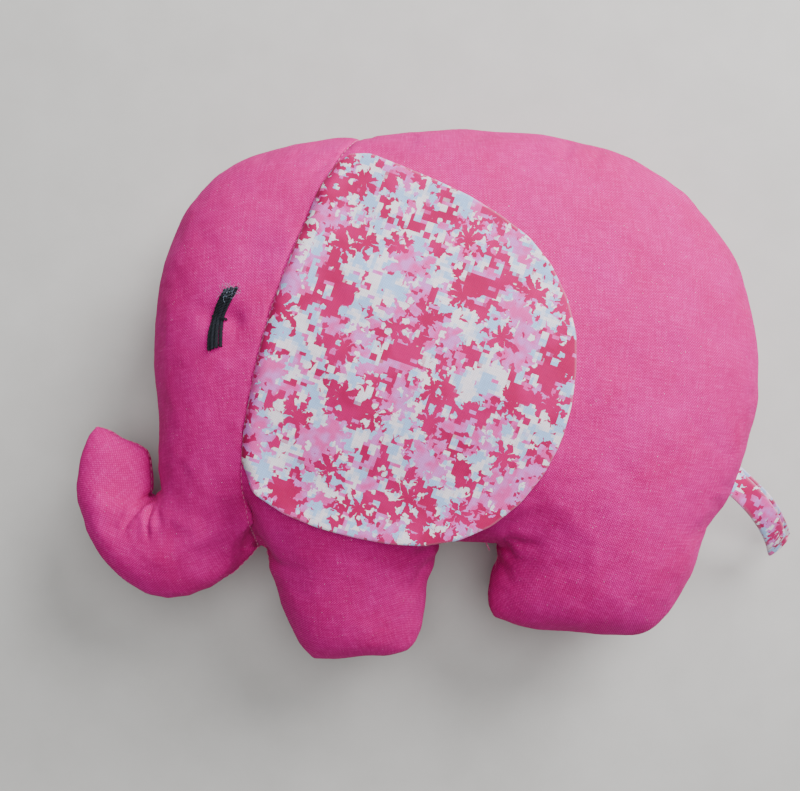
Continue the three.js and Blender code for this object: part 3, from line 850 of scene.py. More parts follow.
def printedCotton():
    w = Wiring("printedCotton")
    place = w.clothPlace(turn=printLook["turn"])
    height, slub = weave(w, place, 0.36)
    step = printLook["step"]
    snapped = w.add("ShaderNodeVectorMath", place, (step, step, step), operation="SNAP")
    wander = w.add("ShaderNodeTexNoise", named={"Vector": place, "Scale": 0.62, "Detail": 1.2}, out=1)
    wander = w.add("ShaderNodeVectorMath", wander, (0.5, 0.5, 0.5), operation="SUBTRACT")
    wander = w.add("ShaderNodeVectorMath", wander, named={"Scale": 2.6}, operation="SCALE")
    loose = w.add("ShaderNodeVectorMath", place, wander, operation="ADD")

    def patches(scale, low, high, seed, source, stretch=(1, 1, 1)):
        moved = w.add("ShaderNodeMapping",
                      named={"Vector": source, "Location": (seed, 2.3 * seed, 0), "Scale": stretch})
        return w.ramp(w.noise(moved, scale, 1.6, 0.55), low, high)

    def cells(scale, seed, source, metric="EUCLIDEAN", stretch=(1, 1, 1), out=0):
        moved = w.add("ShaderNodeMapping",
                      named={"Vector": source, "Location": (seed, 1.7 * seed, 0), "Scale": stretch})
        return w.add("ShaderNodeTexVoronoi", named={"Vector": moved, "Scale": scale}, distance=metric,
                     out=out, voronoi_dimensions="2D")

    def leaf(scale, seed, points, size, depth):
        # a cell's centre with jagged lobes round it
        moved = w.add("ShaderNodeMapping", named={"Vector": loose, "Location": (seed, 1.7 * seed, 0)})
        cell = w.tree.nodes.new("ShaderNodeTexVoronoi")
        cell.voronoi_dimensions = "2D"
        cell.inputs["Scale"].default_value = scale
        w.tree.links.new(moved, cell.inputs["Vector"])
        scaled = w.add("ShaderNodeVectorMath", moved, cell.outputs["Position"], operation="SUBTRACT")
        split = w.tree.nodes.new("ShaderNodeSeparateXYZ")
        w.tree.links.new(scaled, split.inputs[0])
        angle = w.math("ARCTAN2", split.outputs[1], split.outputs[0])
        lobes = w.math("ABSOLUTE", w.math("SINE", w.math("MULTIPLY", angle, points / 2)))
        ragged = w.math("MULTIPLY", lobes, w.ramp(w.noise(moved, 0.33, 2.0), 0.3, 0.6))
        reach = w.math("MULTIPLY_ADD", ragged, depth, size)
        return w.math("GREATER_THAN", reach, cell.outputs["Distance"])

    pale = w.mix(patches(0.2, 0.46, 0.54, 5, snapped), printLook["paleBlue"], printLook["white"])
    blush = w.mix(patches(0.22, 0.4, 0.6, 9, place), printLook["pink"], rgb(226, 138, 222))
    deep = w.mix(patches(0.07, 0.42, 0.6, 31, place), printLook["crimson"], rgb(202, 6, 104))
    color = w.mix(patches(0.05, 0.492, 0.497, 17, snapped, (1.25, 0.9, 1)), deep, pale)
    color = w.mix(patches(0.075, 0.55, 0.555, 3, snapped, (1, 1.4, 1)), color, blush)
    color = w.mix(patches(0.085, 0.6, 0.605, 44, loose, (1.5, 0.8, 1)), color, deep)
    color = w.mix(w.ramp(cells(0.085, 40, snapped, "CHEBYCHEV", (1.7, 0.9, 1)), 0.17, 0.16), color, pale)
    color = w.mix(w.ramp(cells(0.13, 73, snapped, "CHEBYCHEV"), 0.14, 0.13), color, deep)
    color = w.mix(w.ramp(cells(0.12, 90, snapped, "CHEBYCHEV", (0.8, 1.9, 1)), 0.13, 0.12), color, blush)
    color = w.mix(leaf(0.045, 21, 9, 0.16, 0.26), color, blush)
    color = w.mix(leaf(0.05, 60, 5, 0.1, 0.3), color, pale)
    color = w.mix(leaf(0.055, 33, 7, 0.08, 0.32), color, deep)
    color = w.mix(patches(0.16, 0.67, 0.68, 88, loose), color, printLook["white"])
    color = w.mix(patches(0.19, 0.66, 0.67, 12, loose), color, deep)
    color = w.mix(w.ramp(cells(0.1, 7, loose), 0.1, 0.09), color, pale)
    # painted highlight: the turned edges of the ears and the tail strip are paled where the rolled fold would
    # catch the light
    edge = w.add("ShaderNodeAttribute", attribute_name="edgeHighlight", out=2)
    color = w.mix(edge, color, rgb(246, 206, 226))
    color = w.mix(w.math("MULTIPLY", w.ramp(slub, 0.62, 0.3), 0.16), color, rgb(120, 60, 100))
    # painted shade: the hollows between the threads, where the weave is low, are darkened
    color = w.mix(w.math("MULTIPLY", w.ramp(height, 0.5, 0.1), 0.22), color, rgb(120, 40, 80))
    normal = w.bump(height, 0.5, 0.00007)
    normal = w.bump(slub, 0.4, 0.00015, normal)
    normal = w.bump(w.noise(place, 0.2, 2.0), 0.4, 0.0006, normal)
    w.set(Base_Color=color, Normal=normal, Roughness=0.8, Sheen_Weight=0.03, Sheen_Roughness=0.4,
          Specular_IOR_Level=0.15)
    return w.material


def yarnMaterial(name, dark, light, rough=0.8, sheen=0.3):
    w = Wiring(name)
    inPiece = w.add("ShaderNodeTexCoord", out=3)
    place = w.add("ShaderNodeMapping", named={"Vector": inPiece, "Scale": (1000, 1000, 1000)})
    fibre = w.noise(place, 3.2, 3.0, 0.7)
    patch = w.noise(place, 0.5, 1.0)
    color = w.mix(w.ramp(fibre, 0.4, 0.72), dark, light)
    color = w.mix(w.math("MULTIPLY", w.ramp(patch, 0.5, 0.8), 0.35), color, light)
    w.set(Base_Color=color, Normal=w.bump(fibre, 0.8, 0.00012), Roughness=rough, Sheen_Weight=sheen,
          Sheen_Roughness=0.4, Specular_IOR_Level=0.35)
    return w.material


def paleFloor():
    w = Wiring("paleFloor")
    place = w.add("ShaderNodeTexCoord", out=3)
    grain = w.ramp(w.noise(place, 40.0, 4.0, 0.6), 0.3, 0.7)
    w.set(Base_Color=w.mix(grain, (0.50, 0.49, 0.46, 1), (0.54, 0.53, 0.50, 1)), Roughness=0.85)
    return w.material


finish = {
    "pink_cotton": pinkCotton(),
    "printed_cotton": printedCotton(),
    "black_yarn": yarnMaterial("blackYarn", rgb(5, 6, 11), rgb(28, 36, 48), 0.8, 0.04),
    "frayed_yarn": yarnMaterial("frayedYarn", rgb(120, 140, 168), rgb(208, 222, 240)),
    "pink_thread": yarnMaterial("pinkThread", rgb(190, 60, 120), rgb(236, 130, 180), 0.6),
    "fibrefill": yarnMaterial("fibrefill", rgb(214, 212, 208), rgb(246, 245, 242), 0.95),
}


def dress(obj, slot, look=None):
    obj.data.materials.clear()
    obj.data.materials.append(finish[look or slot])

for node, panel in panels.items():
    dress(panel, "pink_cotton")
    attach(panel, "toy")
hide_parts("near_head_panel", "head_stuffing", "trunk_stuffing")
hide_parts("near_body_panel", "body_stuffing", "front_leg_stuffing",
            "back_leg_stuffing")
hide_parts("far_head_panel")
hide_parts("far_body_panel")


earCut = {
    "step": 1.9 * mm,
    "half": 0.62 * mm,         # half the thickness of the two plies together
    "between": 0.12 * mm,
    "turn": 0.95 * mm,         # how far in the turned edge is rounded
    "clearance": 0.75 * mm,    # over the toy's cloth
    "stiffness": 700,          # more rounds make a stiffer, flatter ear
    "sink": 0.006 * mm,        # how strongly its own weight pulls it down in each round
    "waves": 0.22 * mm,
    "sewnDip": 1.7 * mm,       # width of the roll where the ear comes out of the seam
    "bend": 15 * mm,           # width of the part that bends when the ear is lifted
    "bendLead": 3 * mm,        # how far before the ends of the sewn edge it starts
}


def neighbourSums(faces, count):
    pairs = np.array(sorted({tuple(sorted((a, b))) for f in faces for a, b in zip(f, (*f[1:], f[0]))}))
    rows = np.concatenate([pairs[:, 0], pairs[:, 1]])
    cols = np.concatenate([pairs[:, 1], pairs[:, 0]])
    return rows, cols, np.bincount(rows, minlength=count)


def drape(side, points, faces, fromRim):
    # the height of a cloth sheet that lies on the toy, or is pinned between the toy and the floor
    sign = 1 if side == "near" else -1
    heights, normals = skinHeight(side, points)
    steep = np.maximum(np.abs(normals[:, 2]), 0.45)
    under = np.where(np.isnan(heights), -1, sign * heights + (earCut["half"] + earCut["clearance"]) / steep)
    ceiling = -(earCut["half"] + 0.05 * mm) if side == "far" else 1
    rows, cols, degree = neighbourSums(faces, len(points))
    level = np.where(under < -0.5, under[under > -0.5].min(), under)
    pull = earCut["sink"] if side == "near" else -6 * earCut["sink"]
    for _ in range(earCut["stiffness"]):
        level = np.bincount(rows, level[cols], len(points)) / degree - pull
        level = np.minimum(np.maximum(level, under), ceiling)
    for _ in range(6):
        level = 0.5 * level + 0.5 * np.bincount(rows, level[cols], len(points)) / degree
    toSeam = distanceToLine(points, headSeam)[0]
    dip = np.exp(-(fromRim / earCut["sewnDip"]) ** 2) * smoothStep((5 * mm - toSeam) / (3 * mm))
    low = np.where(np.isnan(heights), level, sign * np.nan_to_num(heights) + 0.35 * mm)
    level = level * (1 - dip) + low * dip
    return sign * level


def plyShell(name, points, faces, middle, normals, outer, inner, rimMask):
    # a closed ply between two offsets of the sheet, whose faces meet along the rim
    count = len(points)
    twin = np.arange(count)
    inside = np.flatnonzero(~rimMask)
    twin[inside] = count + np.arange(len(inside))
    top = middle + normals * outer[:, None]
    low = (middle + normals * inner[:, None])[inside]
    shell = list(faces) + [[twin[i] for i in f[::-1]] for f in faces]
    if (outer - inner).sum() < 0:
        shell = [f[::-1] for f in shell]
    obj = newObject(name, np.vstack([top, low]), shell)
    return obj, np.concatenate([np.arange(count), inside])


def layFlat(obj, flatPlace):
    # the piece's own UV map: where each corner lay on the flat cloth, in metres
    layer = obj.data.uv_layers.new(name="flat")
    loops = np.empty(len(obj.data.loops), dtype=int)
    obj.data.loops.foreach_get("vertex_index", loops)
    layer.data.foreach_set("uv", np.asarray(flatPlace)[loops].astype(np.float32).ravel())


def markEdge(obj, values):
    # how strongly the painted highlight pales the cloth at each point near its turned edge
    layer = obj.data.attributes.new("edgeHighlight", "FLOAT", "POINT")
    layer.data.foreach_set("value", np.asarray(values).astype(np.float32))


def jointNamed(name):
    return next(joint for joint in frame["joints"] if joint["name"] == name)


def bendEar(side, plies, middle, normals, fromSewn):
    # the bend runs across the hinge in the ear's own plane, so that both plies turn together
    joint = jointNamed(side + "_ear_hinge")
    axis = np.array(joint["axis"]) / np.linalg.norm(joint["axis"])
    near = fromSewn < earCut["bend"]
    facing = normals[near].mean(axis=0)
    across = np.cross(axis, facing)
    across /= np.linalg.norm(across)
    across *= np.sign(across[0])
    sewn = (middle[fromSewn < 3 * mm] - np.array(joint["pos_m"])) @ across
    start = np.array(joint["pos_m"]) + across * (sewn.max() - earCut["bendLead"])
    end = start + across * earCut["bend"]
    for obj in plies:
        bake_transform(obj, "toy", side + "_ear", start=tuple(start), end=tuple(end))
    print(side, "ear bends from", round(float(sewn.max() - earCut["bendLead"]) / mm, 1), "mm past its hinge")


def makeEar(side):
    loop = resample(earRim[side], 1.5 * mm, closed=True)
    count = len(loop)
    way = np.roll(loop, -1, axis=0) - np.roll(loop, 1, axis=0)
    way /= np.linalg.norm(way, axis=1)[:, None]
    inward = np.column_stack([-way[:, 1], way[:, 0]])
    rings = [loop + inward * share * earCut["turn"] for share in (0, 0.12, 0.42, 1)]
    inner, innerFaces, _, order = flatPattern(rings[-1], earCut["step"])
    points = np.vstack(rings[:-1] + [inner])
    base = 3 * count
    place = [[k * count + i for i in range(count)] for k in range(3)] + [[base + i for i in order]]
    faces = [[base + i for i in f] for f in innerFaces]
    for a, b in zip(place, place[1:]):
        faces += [[a[i], a[(i + 1) % count], b[(i + 1) % count], b[i]] for i in range(count)]
    fromRim = np.concatenate([np.full(count, share * earCut["turn"]) for share in (0, 0.12, 0.42)]
                             + [distanceToLine(inner, loop, closed=True)[0]])
    rimMask = np.arange(len(points)) < count
    heights = drape(side, points, faces, fromRim)
    heights += earCut["waves"] * softNoise(points, 22 * mm, 31 if side == "near" else 32) * (side == "near")
    if side == "far":
        faces = [f[::-1] for f in faces]
    sheet = newObject("sheet", np.column_stack([points, heights]), faces)
    normals, middle = getNormals(sheet), getVerts(sheet)
    bpy.data.objects.remove(sheet)
    # full thickness inside, turned down to nothing at the rim
    rounding = np.sqrt(1 - (1 - np.clip(fromRim / earCut["turn"], 0, 1)) ** 2)
    made = []
    for ply, sign, shift in (("Face", 1, 0.0), ("Back", -1, 0.3)):
        obj, source = plyShell(side + "Ear" + ply, points, faces, middle, normals,
                               sign * earCut["half"] * rounding, sign * earCut["between"] * rounding, rimMask)
        layFlat(obj, points[source] * (1 if sign > 0 else (-1, 1)) + shift)
        # painted highlight along the ear's turned edge
        markEdge(obj, 0.35 * np.exp(-(fromRim[source] / (0.42 * mm)) ** 2))
        dress(obj, "printed_cotton")
        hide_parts(side + "_ear_" + ply.lower())
        made.append(obj)
    bendEar(side, made, middle, normals, fromSewn=distanceToLine(points, headSeam)[0])
    print(side, "ear:", len(made[0].data.polygons), "faces")


for side in ("near", "far"):
    makeEar(side)

tail = {
    "width": 9.5 * mm,
    "half": 0.5 * mm,           # half of the thickness of the folded strip
    "apart": 0.95 * mm,         # each layer from the middle of the loop
    "reach": 38.5 * mm,
    "droop": 25 * mm,
    "heading": (0.68, -0.73),
    "slip": 2.9 * mm,           # how far the lower layer shows beside the upper one
    "bow": 1.3 * mm,
    "curl": 0.5 * mm,
    # how it hangs from root to tip: (share of its reach, share of its droop)
    "hang": [(-0.06, 0.0), (0.12, -0.005), (0.3, -0.09), (0.46, -0.23),
             (0.63, -0.43), (0.8, -0.68), (0.92, -0.87), (1.0, -1.0)],
    # lines along the strip, closer together at its edges: shares of half its width
    "lines": [-1, -0.985, -0.94, -0.86, -0.7, -0.48, -0.24, 0, 0.24, 0.48, 0.7, 0.86, 0.94, 0.985, 1],
}


def makeTail():
    # the strip comes out of the back seam at its hinge
    hinge = np.array(jointNamed("tail_hinge")["pos_m"])[:2]
    root = fineRim[np.argmin(np.linalg.norm(fineRim - hinge, axis=1))]
    heading = np.array(tail["heading"])
    heading = heading / np.linalg.norm(heading)
    across = np.array([heading[1], -heading[0]])
    share = np.linspace(0, 1, 60)
    keys = np.array(tail["hang"])
    keyShare = np.linspace(0, 1, len(keys))
    run = np.column_stack([np.interp(share, keyShare, keys[:, 0]) * tail["reach"],
                           np.interp(share, keyShare, keys[:, 1]) * tail["droop"]])
    for _ in range(12):
        run[1:-1] = 0.5 * run[1:-1] + 0.25 * (run[:-2] + run[2:])
    run = resample(run, 0.8 * mm)
    way = np.gradient(run, axis=0)
    way /= np.linalg.norm(way, axis=1)[:, None]
    normal = np.column_stack([-way[:, 1], way[:, 0]])
    share = np.linspace(0, 1, len(run))
    opened = tail["apart"] * (0.25 + 0.75 * smoothStep(share * 4))
    upperRun = run + normal * (opened + 0.5 * mm * np.sin(math.pi * share))[:, None]
    lowerRun = run - normal * opened[:, None]
    turns = np.linspace(0.5, -0.5, 9)[1:-1] * math.pi
    radius = np.linalg.norm(upperRun[-1] - lowerRun[-1]) / 2
    middle = (upperRun[-1] + lowerRun[-1]) / 2
    fold = np.array([middle + radius * (way[-1] * math.cos(t) + normal[-1] * math.sin(t)) for t in turns])
    path = np.vstack([upperRun, fold, lowerRun[::-1]])
    overFold = np.linspace(0, 1, len(fold) + 2)[1:-1]
    slip = np.concatenate([0 * share, overFold, 0.35 + 0.65 * share[::-1]]) * tail["slip"]
    bow = np.concatenate([np.sin(math.pi * share), 0 * turns, np.sin(math.pi * share[::-1])]) * tail["bow"]
    length = np.concatenate([[0], np.cumsum(np.linalg.norm(np.diff(path, axis=0), axis=1))])
    pathWay = np.gradient(path, axis=0)
    pathWay /= np.linalg.norm(pathWay, axis=1)[:, None]
    lift = np.column_stack([-pathWay[:, 1], pathWay[:, 0]])
    span = tail["width"] / 2 * np.array(tail["lines"])
    middles, normals, uv, fromEdge = [], [], [], []
    for i in range(len(path)):
        for w in span:
            bend = tail["curl"] * (w / tail["width"] * 2) ** 2
            out, up = path[i] - lift[i] * bend
            plan = root + heading * out + across * (w - slip[i] - bow[i])
            middles.append((*plan, seamZ + up))
            normals.append((*(heading * lift[i][0]), lift[i][1]))
            uv.append((length[i], w + 0.02))
            fromEnd = min(length[i], length[-1] - length[i]) + 0.3 * mm
            fromEdge.append(min(tail["width"] / 2 - abs(w), fromEnd))
    wide = len(span)
    faces = [[i * wide + j, (i + 1) * wide + j, (i + 1) * wide + j + 1, i * wide + j + 1]
             for i in range(len(path) - 1) for j in range(wide - 1)]
    fromEdge = np.array(fromEdge)
    middles, normals = np.array(middles), np.array(normals)
    # which way the faces turn decides which way the thickness goes
    a, b, c = (middles[faces[200][k]] for k in (0, 1, 2))
    if np.cross(b - a, c - b) @ normals[faces[200][0]] < 0:
        faces = [f[::-1] for f in faces]
    edge = np.zeros(len(middles), dtype=bool)
    for i in range(len(path)):
        for j in range(wide):
            edge[i * wide + j] = i in (0, len(path) - 1) or j in (0, wide - 1)
    thick = tail["half"] * np.sqrt(1 - (1 - np.clip(fromEdge / (0.8 * mm), 0, 1)) ** 2)
    ripple = 0.1 * mm * softNoise(middles, 9 * mm, 41)
    rippled = middles + normals * ripple[:, None]
    obj, source = plyShell("tailStrip", middles, faces, rippled, normals, thick, -thick, edge)
    layFlat(obj, np.array(uv)[source] + 0.137)
    # painted highlight along the tail strip's edges and its fold
    markEdge(obj, 0.4 * np.exp(-(fromEdge[source] / (0.6 * mm)) ** 2))
    dress(obj, "printed_cotton")
    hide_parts("tail_strip")
    start = root - heading * 1.5 * mm
    end = root + heading * 7 * mm
    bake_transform(obj, "toy", "tail", start=(*start, seamZ), end=(*end, seamZ))
    print("tail:", len(obj.data.polygons), "faces, strip", round(length[-1] / mm, 1), "mm long")


makeTail()


def socketOf(tree, name):
    for item in tree.interface.items_tree:
        if item.item_type == "SOCKET" and item.in_out == "INPUT" and item.name == name:
            return item.identifier


class Nodes:
    # a geometry node tree with named inputs
    def __init__(self, name, **inputs):
        self.tree = bpy.data.node_groups.new(name, "GeometryNodeTree")
        face = self.tree.interface
        face.new_socket("Geometry", in_out="INPUT", socket_type="NodeSocketGeometry")
        face.new_socket("Geometry", in_out="OUTPUT", socket_type="NodeSocketGeometry")
        kinds = {float: "NodeSocketFloat", int: "NodeSocketInt"}
        for key, value in inputs.items():
            kind = kinds.get(type(value), "NodeSocketMaterial")
            socket = face.new_socket(key, in_out="INPUT", socket_type=kind)
            if value is not None:
                socket.default_value = value
        self.start = self.tree.nodes.new("NodeGroupInput")
        self.end = self.tree.nodes.new("NodeGroupOutput")

    def input(self, name):
        return self.start.outputs[name]

    def add(self, kind, named=None, out=0, **settings):
        node = self.tree.nodes.new(kind)
        for key, value in settings.items():
            setattr(node, key, value)
        for key, value in (named or {}).items():
            values = value if isinstance(value, list) else [value]
            for one in values:
                if isinstance(one, bpy.types.NodeSocket):
                    self.tree.links.new(one, node.inputs[key])
                else:
                    node.inputs[key].default_value = one
        return node.outputs[out]

    def math(self, operation, a, b=0.0, c=0.0):
        return self.add("ShaderNodeMath", {0: a, 1: b, 2: c}, operation=operation)

    def vector(self, operation, a, b, out=0):
        second = "Scale" if operation == "SCALE" else 1
        return self.add("ShaderNodeVectorMath", {0: a, second: b}, operation=operation, out=out)

    def finish(self, geometry):
        real = self.add("GeometryNodeRealizeInstances", {0: geometry})
        painted = self.add("GeometryNodeSetMaterial", {"Geometry": real, "Material": self.input("Material")})
        self.tree.links.new(painted, self.end.inputs[0])
        return self.tree


def yarnTree():
    # plies that wind round a line, as a yarn or a sewing thread
    n = Nodes("twistedYarn", Plies=3, Ply_Radius=0.0003, Twist_Length=0.0032, Step=0.0003, Material=None)
    line = n.add("GeometryNodeResampleCurve", {"Curve": n.input("Geometry"), "Length": n.input("Step")},
                 mode="LENGTH")
    copies = n.add("GeometryNodeDuplicateElements", {0: line, "Amount": n.input("Plies")}, domain="SPLINE")
    which = copies.node.outputs["Duplicate Index"]
    share = n.math("DIVIDE", which, n.input("Plies"))
    along = n.add("GeometryNodeSplineParameter", out=1)
    turns = n.math("ADD", n.math("DIVIDE", along, n.input("Twist_Length")), share)
    turn = n.math("MULTIPLY", turns, 2 * math.pi)
    tangent = n.add("GeometryNodeInputTangent")
    normal = n.add("GeometryNodeInputNormal")
    side = n.vector("CROSS_PRODUCT", tangent, normal)
    # each ply keeps the same distance from the line as it winds round it
    reach = n.math("MULTIPLY", n.input("Ply_Radius"), 1.12)
    a = n.vector("SCALE", normal, n.math("MULTIPLY", n.math("COSINE", turn), reach))
    b = n.vector("SCALE", side, n.math("MULTIPLY", n.math("SINE", turn), reach))
    wound = n.add("GeometryNodeSetPosition", {"Geometry": copies, "Offset": n.vector("ADD", a, b)})
    ring = n.add("GeometryNodeCurvePrimitiveCircle", {"Resolution": 7, "Radius": n.input("Ply_Radius")})
    mesh = n.add("GeometryNodeCurveToMesh", {"Curve": wound, "Profile Curve": ring, "Fill Caps": True})
    smooth = n.add("GeometryNodeSetShadeSmooth", {"Geometry": mesh})
    return n.finish(smooth)


def fibreTree():
    # loose bent fibres that stand out of a surface where it is marked
    n = Nodes("looseFibres", Density=2.0e6, Length=0.0012, Thickness=0.00004, Seed=1, Spread=1.1,
              Material=None)
    mark = n.add("GeometryNodeInputNamedAttribute", {"Name": "hairy"}, data_type="FLOAT")
    spots = n.add("GeometryNodeDistributePointsOnFaces",
                  {"Mesh": n.input("Geometry"), "Density": n.math("MULTIPLY", mark, n.input("Density")),
                   "Seed": n.input("Seed")})
    turned = spots.node.outputs["Rotation"]
    line = n.add("GeometryNodeCurvePrimitiveBezierSegment",
                 {"Start": (0, 0, 0), "Start Handle": (0, 0, 0.5), "End Handle": (0.25, 0.1, 0.8),
                  "End": (0.6, 0.2, 0.9), "Resolution": 5})
    slender = n.math("DIVIDE", n.input("Thickness"), n.input("Length"))
    ring = n.add("GeometryNodeCurvePrimitiveCircle", {"Resolution": 3, "Radius": slender})
    fibre = n.add("GeometryNodeCurveToMesh", {"Curve": line, "Profile Curve": ring})
    other = n.math("MULTIPLY", n.input("Spread"), -1.0)
    low = n.add("ShaderNodeCombineXYZ", {0: other, 1: other, 2: 0.0})
    high = n.add("ShaderNodeCombineXYZ", {0: n.input("Spread"), 1: n.input("Spread"), 2: 6.283})
    tilt = n.add("FunctionNodeRandomValue", {"Min": low, "Max": high, "Seed": n.input("Seed")},
                 data_type="FLOAT_VECTOR")
    rotation = n.add("FunctionNodeRotateRotation", {"Rotation": turned, "Rotate By": tilt},
                     rotation_space="LOCAL")
    size = n.add("FunctionNodeRandomValue", {2: 0.35, 3: 1.0, "Seed": n.input("Seed")},
                 data_type="FLOAT", out=1)
    placed = n.add("GeometryNodeInstanceOnPoints",
                   {"Points": spots, "Instance": fibre, "Rotation": rotation,
                    "Scale": n.math("MULTIPLY", size, n.input("Length"))})
    return n.finish(placed)


def stitchTree():
    # short threads that follow a seam
    n = Nodes("seamStitches", Pitch=0.0026, Length=0.0018, Thickness=0.00016, Seed=1, Material=None)
    line = n.add("GeometryNodeResampleCurve", {"Curve": n.input("Geometry"), "Length": n.input("Pitch")},
                 mode="LENGTH")
    tangent = n.add("GeometryNodeInputTangent")
    rotation = n.add("FunctionNodeAlignRotationToVector", {"Vector": tangent}, axis="X")
    thickness = n.input("Thickness")
    stretch = n.add("ShaderNodeCombineXYZ", {0: n.input("Length"), 1: thickness, 2: thickness})
    wander = n.add("FunctionNodeRandomValue", {2: 0.85, 3: 1.1, "Seed": n.input("Seed")},
                   data_type="FLOAT", out=1)
    size = n.vector("SCALE", stretch, wander)
    bead = n.add("GeometryNodeMeshUVSphere", {"Segments": 8, "Rings": 6, "Radius": 1.0})
    turned = n.add("GeometryNodeTransform",
                   {"Geometry": bead, "Rotation": (0, math.pi / 2, 0), "Scale": (1, 1, 0.5)})
    placed = n.add("GeometryNodeInstanceOnPoints",
                   {"Points": line, "Instance": turned, "Rotation": rotation, "Scale": size})
    smooth = n.add("GeometryNodeSetShadeSmooth", {"Geometry": placed})
    return n.finish(smooth)


trees = {"yarn": yarnTree(), "fibre": fibreTree(), "stitch": stitchTree()}


def grow(name, source, tree, slot, look=None, **inputs):
    # runs a node tree on a curve or a mesh and keeps the result as one plain mesh
    made = source.modifiers.new(name, "NODES")
    made.node_group = trees[tree]
    for key, value in inputs.items():
        made[socketOf(trees[tree], key)] = value
    made[socketOf(trees[tree], "Material")] = finish[look or slot]
    graph = bpy.context.evaluated_depsgraph_get()
    mesh = bpy.data.meshes.new_from_object(source.evaluated_get(graph), depsgraph=graph)
    source.modifiers.clear()
    mesh.name = name
    co = np.empty(len(mesh.vertices) * 3)
    mesh.vertices.foreach_get("co", co)
    co[2::3] = np.maximum(co[2::3], 0.05 * mm)      # loose fibres lie on the floor, not in it
    mesh.vertices.foreach_set("co", co)
    obj = bpy.data.objects.new(name, mesh)
    bpy.context.scene.collection.objects.link(obj)
    if not len(mesh.materials):
        mesh.materials.append(finish[look or slot])
    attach(obj, "toy")
    return obj


def lineObject(name, paths):
    data = bpy.data.curves.new(name, "CURVE")
    data.dimensions = "3D"
    for path in paths:
        spline = data.splines.new("POLY")
        spline.points.add(len(path) - 1)
        spline.points.foreach_set("co", np.column_stack([path, np.ones(len(path))]).ravel())
    obj = bpy.data.objects.new(name, data)
    bpy.context.scene.collection.objects.link(obj)
    return obj


yarn = {
    "radius": 0.33 * mm,       # of each ply
    "twist": 3.4 * mm,
    "bow": 1.0 * mm,
    "slant": 0.75 * mm,
    "lie": 0.5 * mm,           # of a strand's middle over the cloth
    "squeeze": 0.8,            # how close the tie draws the strands together
    "fuzz": 1.5e6,
    "fuzzLength": 0.9 * mm,
    "fray": 2.2e6,
    "frayLength": 2.6 * mm,
    "tieRadius": 0.13 * mm,
}


def strandPath(side, k):
    # a cut length of yarn that lies on the cheek, drawn in under the tie
    strands = eyeStrands[side]
    middle = np.mean([s[:, :2] for s in strands], axis=0)
    chord = strands[k][-1, :2] - strands[k][0, :2]
    # the outer strands end in step, so that both cut ends of the bundle slant
    lean = (k - 1.5) * yarn["slant"] * chord / np.linalg.norm(chord)
    plan = resample(strands[k][:, :2] - lean, 0.8 * mm)
    centre = resample(middle, 0.8 * mm)
    share = np.linspace(0, 1, len(plan))
    centreShare = np.linspace(0, 1, len(centre))
    centre = np.stack([np.interp(share, centreShare, centre[:, i]) for i in (0, 1)], axis=1)
    tied = np.exp(-((share - 0.48) / 0.16) ** 2)
    plan = centre + (plan - centre) * (0.86 - (1 - yarn["squeeze"]) * tied)[:, None]
    outward = np.array([chord[1], -chord[0]]) / np.linalg.norm(chord)
    plan = plan - outward * (yarn["bow"] * np.sin(math.pi * share))[:, None]
    heights, normals = skinHeight(side, plan)
    sign = 1 if side == "near" else -1
    crown = (0.45 if k in (1, 2) else 0.0) * mm
    lie = yarn["lie"] + crown - 0.12 * mm * tied
    path = np.column_stack([plan, heights]) + normals * sign * np.sign(normals[:, 2:3]) * lie[:, None]
    for _ in range(3):
        path[1:-1] = 0.5 * path[1:-1] + 0.25 * (path[:-2] + path[2:])
    return path


def makeEye(side):
    sign = 1 if side == "near" else -1
    paths = [strandPath(side, k) for k in range(4)]
    for k, path in enumerate(paths):
        line = lineObject("line", [path])
        strand = grow(side + "EyeStrand" + str(k + 1), line, "yarn", "black_yarn", Plies=3,
                      Ply_Radius=yarn["radius"], Twist_Length=yarn["twist"] * (1 + 0.07 * k))
        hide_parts(side + "_eye_strand_" + str(k + 1))
        bpy.data.objects.remove(line)
        co = getVerts(strand)
        top = np.linalg.norm(co - path[-1], axis=1)
        # fuzz all along the yarn, and a paler fray at its cut upper end
        fray = np.exp(-(top / (2.6 * mm)) ** 4)
        for part, look, mark, thickness in (("Fuzz", "black_yarn", np.ones(len(co)), 0.022 * mm),
                                            ("Fray", "frayed_yarn", fray, 0.03 * mm)):
            marks = strand.data.attributes
            layer = marks.get("hairy") or marks.new("hairy", "FLOAT", "POINT")
            layer.data.foreach_set("value", mark.astype(np.float32))
            grow(side + "Eye" + part + str(k + 1), strand, "fibre", "black_yarn", look,
                 Density=yarn[part.lower()], Length=yarn[part.lower() + "Length"], Thickness=thickness,
                 Seed=5 + k)
        strand.data.attributes.remove(strand.data.attributes["hairy"])
    # the tie: one stitch over the bundle, from one dimple to the other
    low, high = tieBox[side][:, :2] - np.array([yarn["bow"], 0])
    middle = (low[1] + high[1]) / 2
    ends = np.array([(low[0] + 0.9 * mm, middle + 0.6 * mm), (high[0] - 0.4 * mm, middle - 0.8 * mm)])
    plan = ends[0] + (ends[1] - ends[0]) * np.linspace(0, 1, 15)[:, None]
    heights = skinHeight(side, plan)[0]
    over = np.sqrt(np.clip(1 - (np.linspace(-1.08, 1.08, 15)) ** 4, 0, 1)) * 1.5 * mm - 0.2 * mm
    over[0] = over[-1] = -0.9 * mm
    path = np.column_stack([plan, heights + sign * over])
    line = lineObject("line", [path, path[::-1] + np.array([0.0, 0.42 * mm, 0.06 * sign * mm])])
    tie = grow(side + "EyeTie", line, "yarn", "black_yarn", Plies=2, Ply_Radius=yarn["tieRadius"],
               Twist_Length=1.4 * mm, Step=0.2 * mm)
    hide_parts(side + "_eye_tie")
    bpy.data.objects.remove(line)


for side in ("near", "far"):
    makeEye(side)
print("eyes laid on the cheeks")

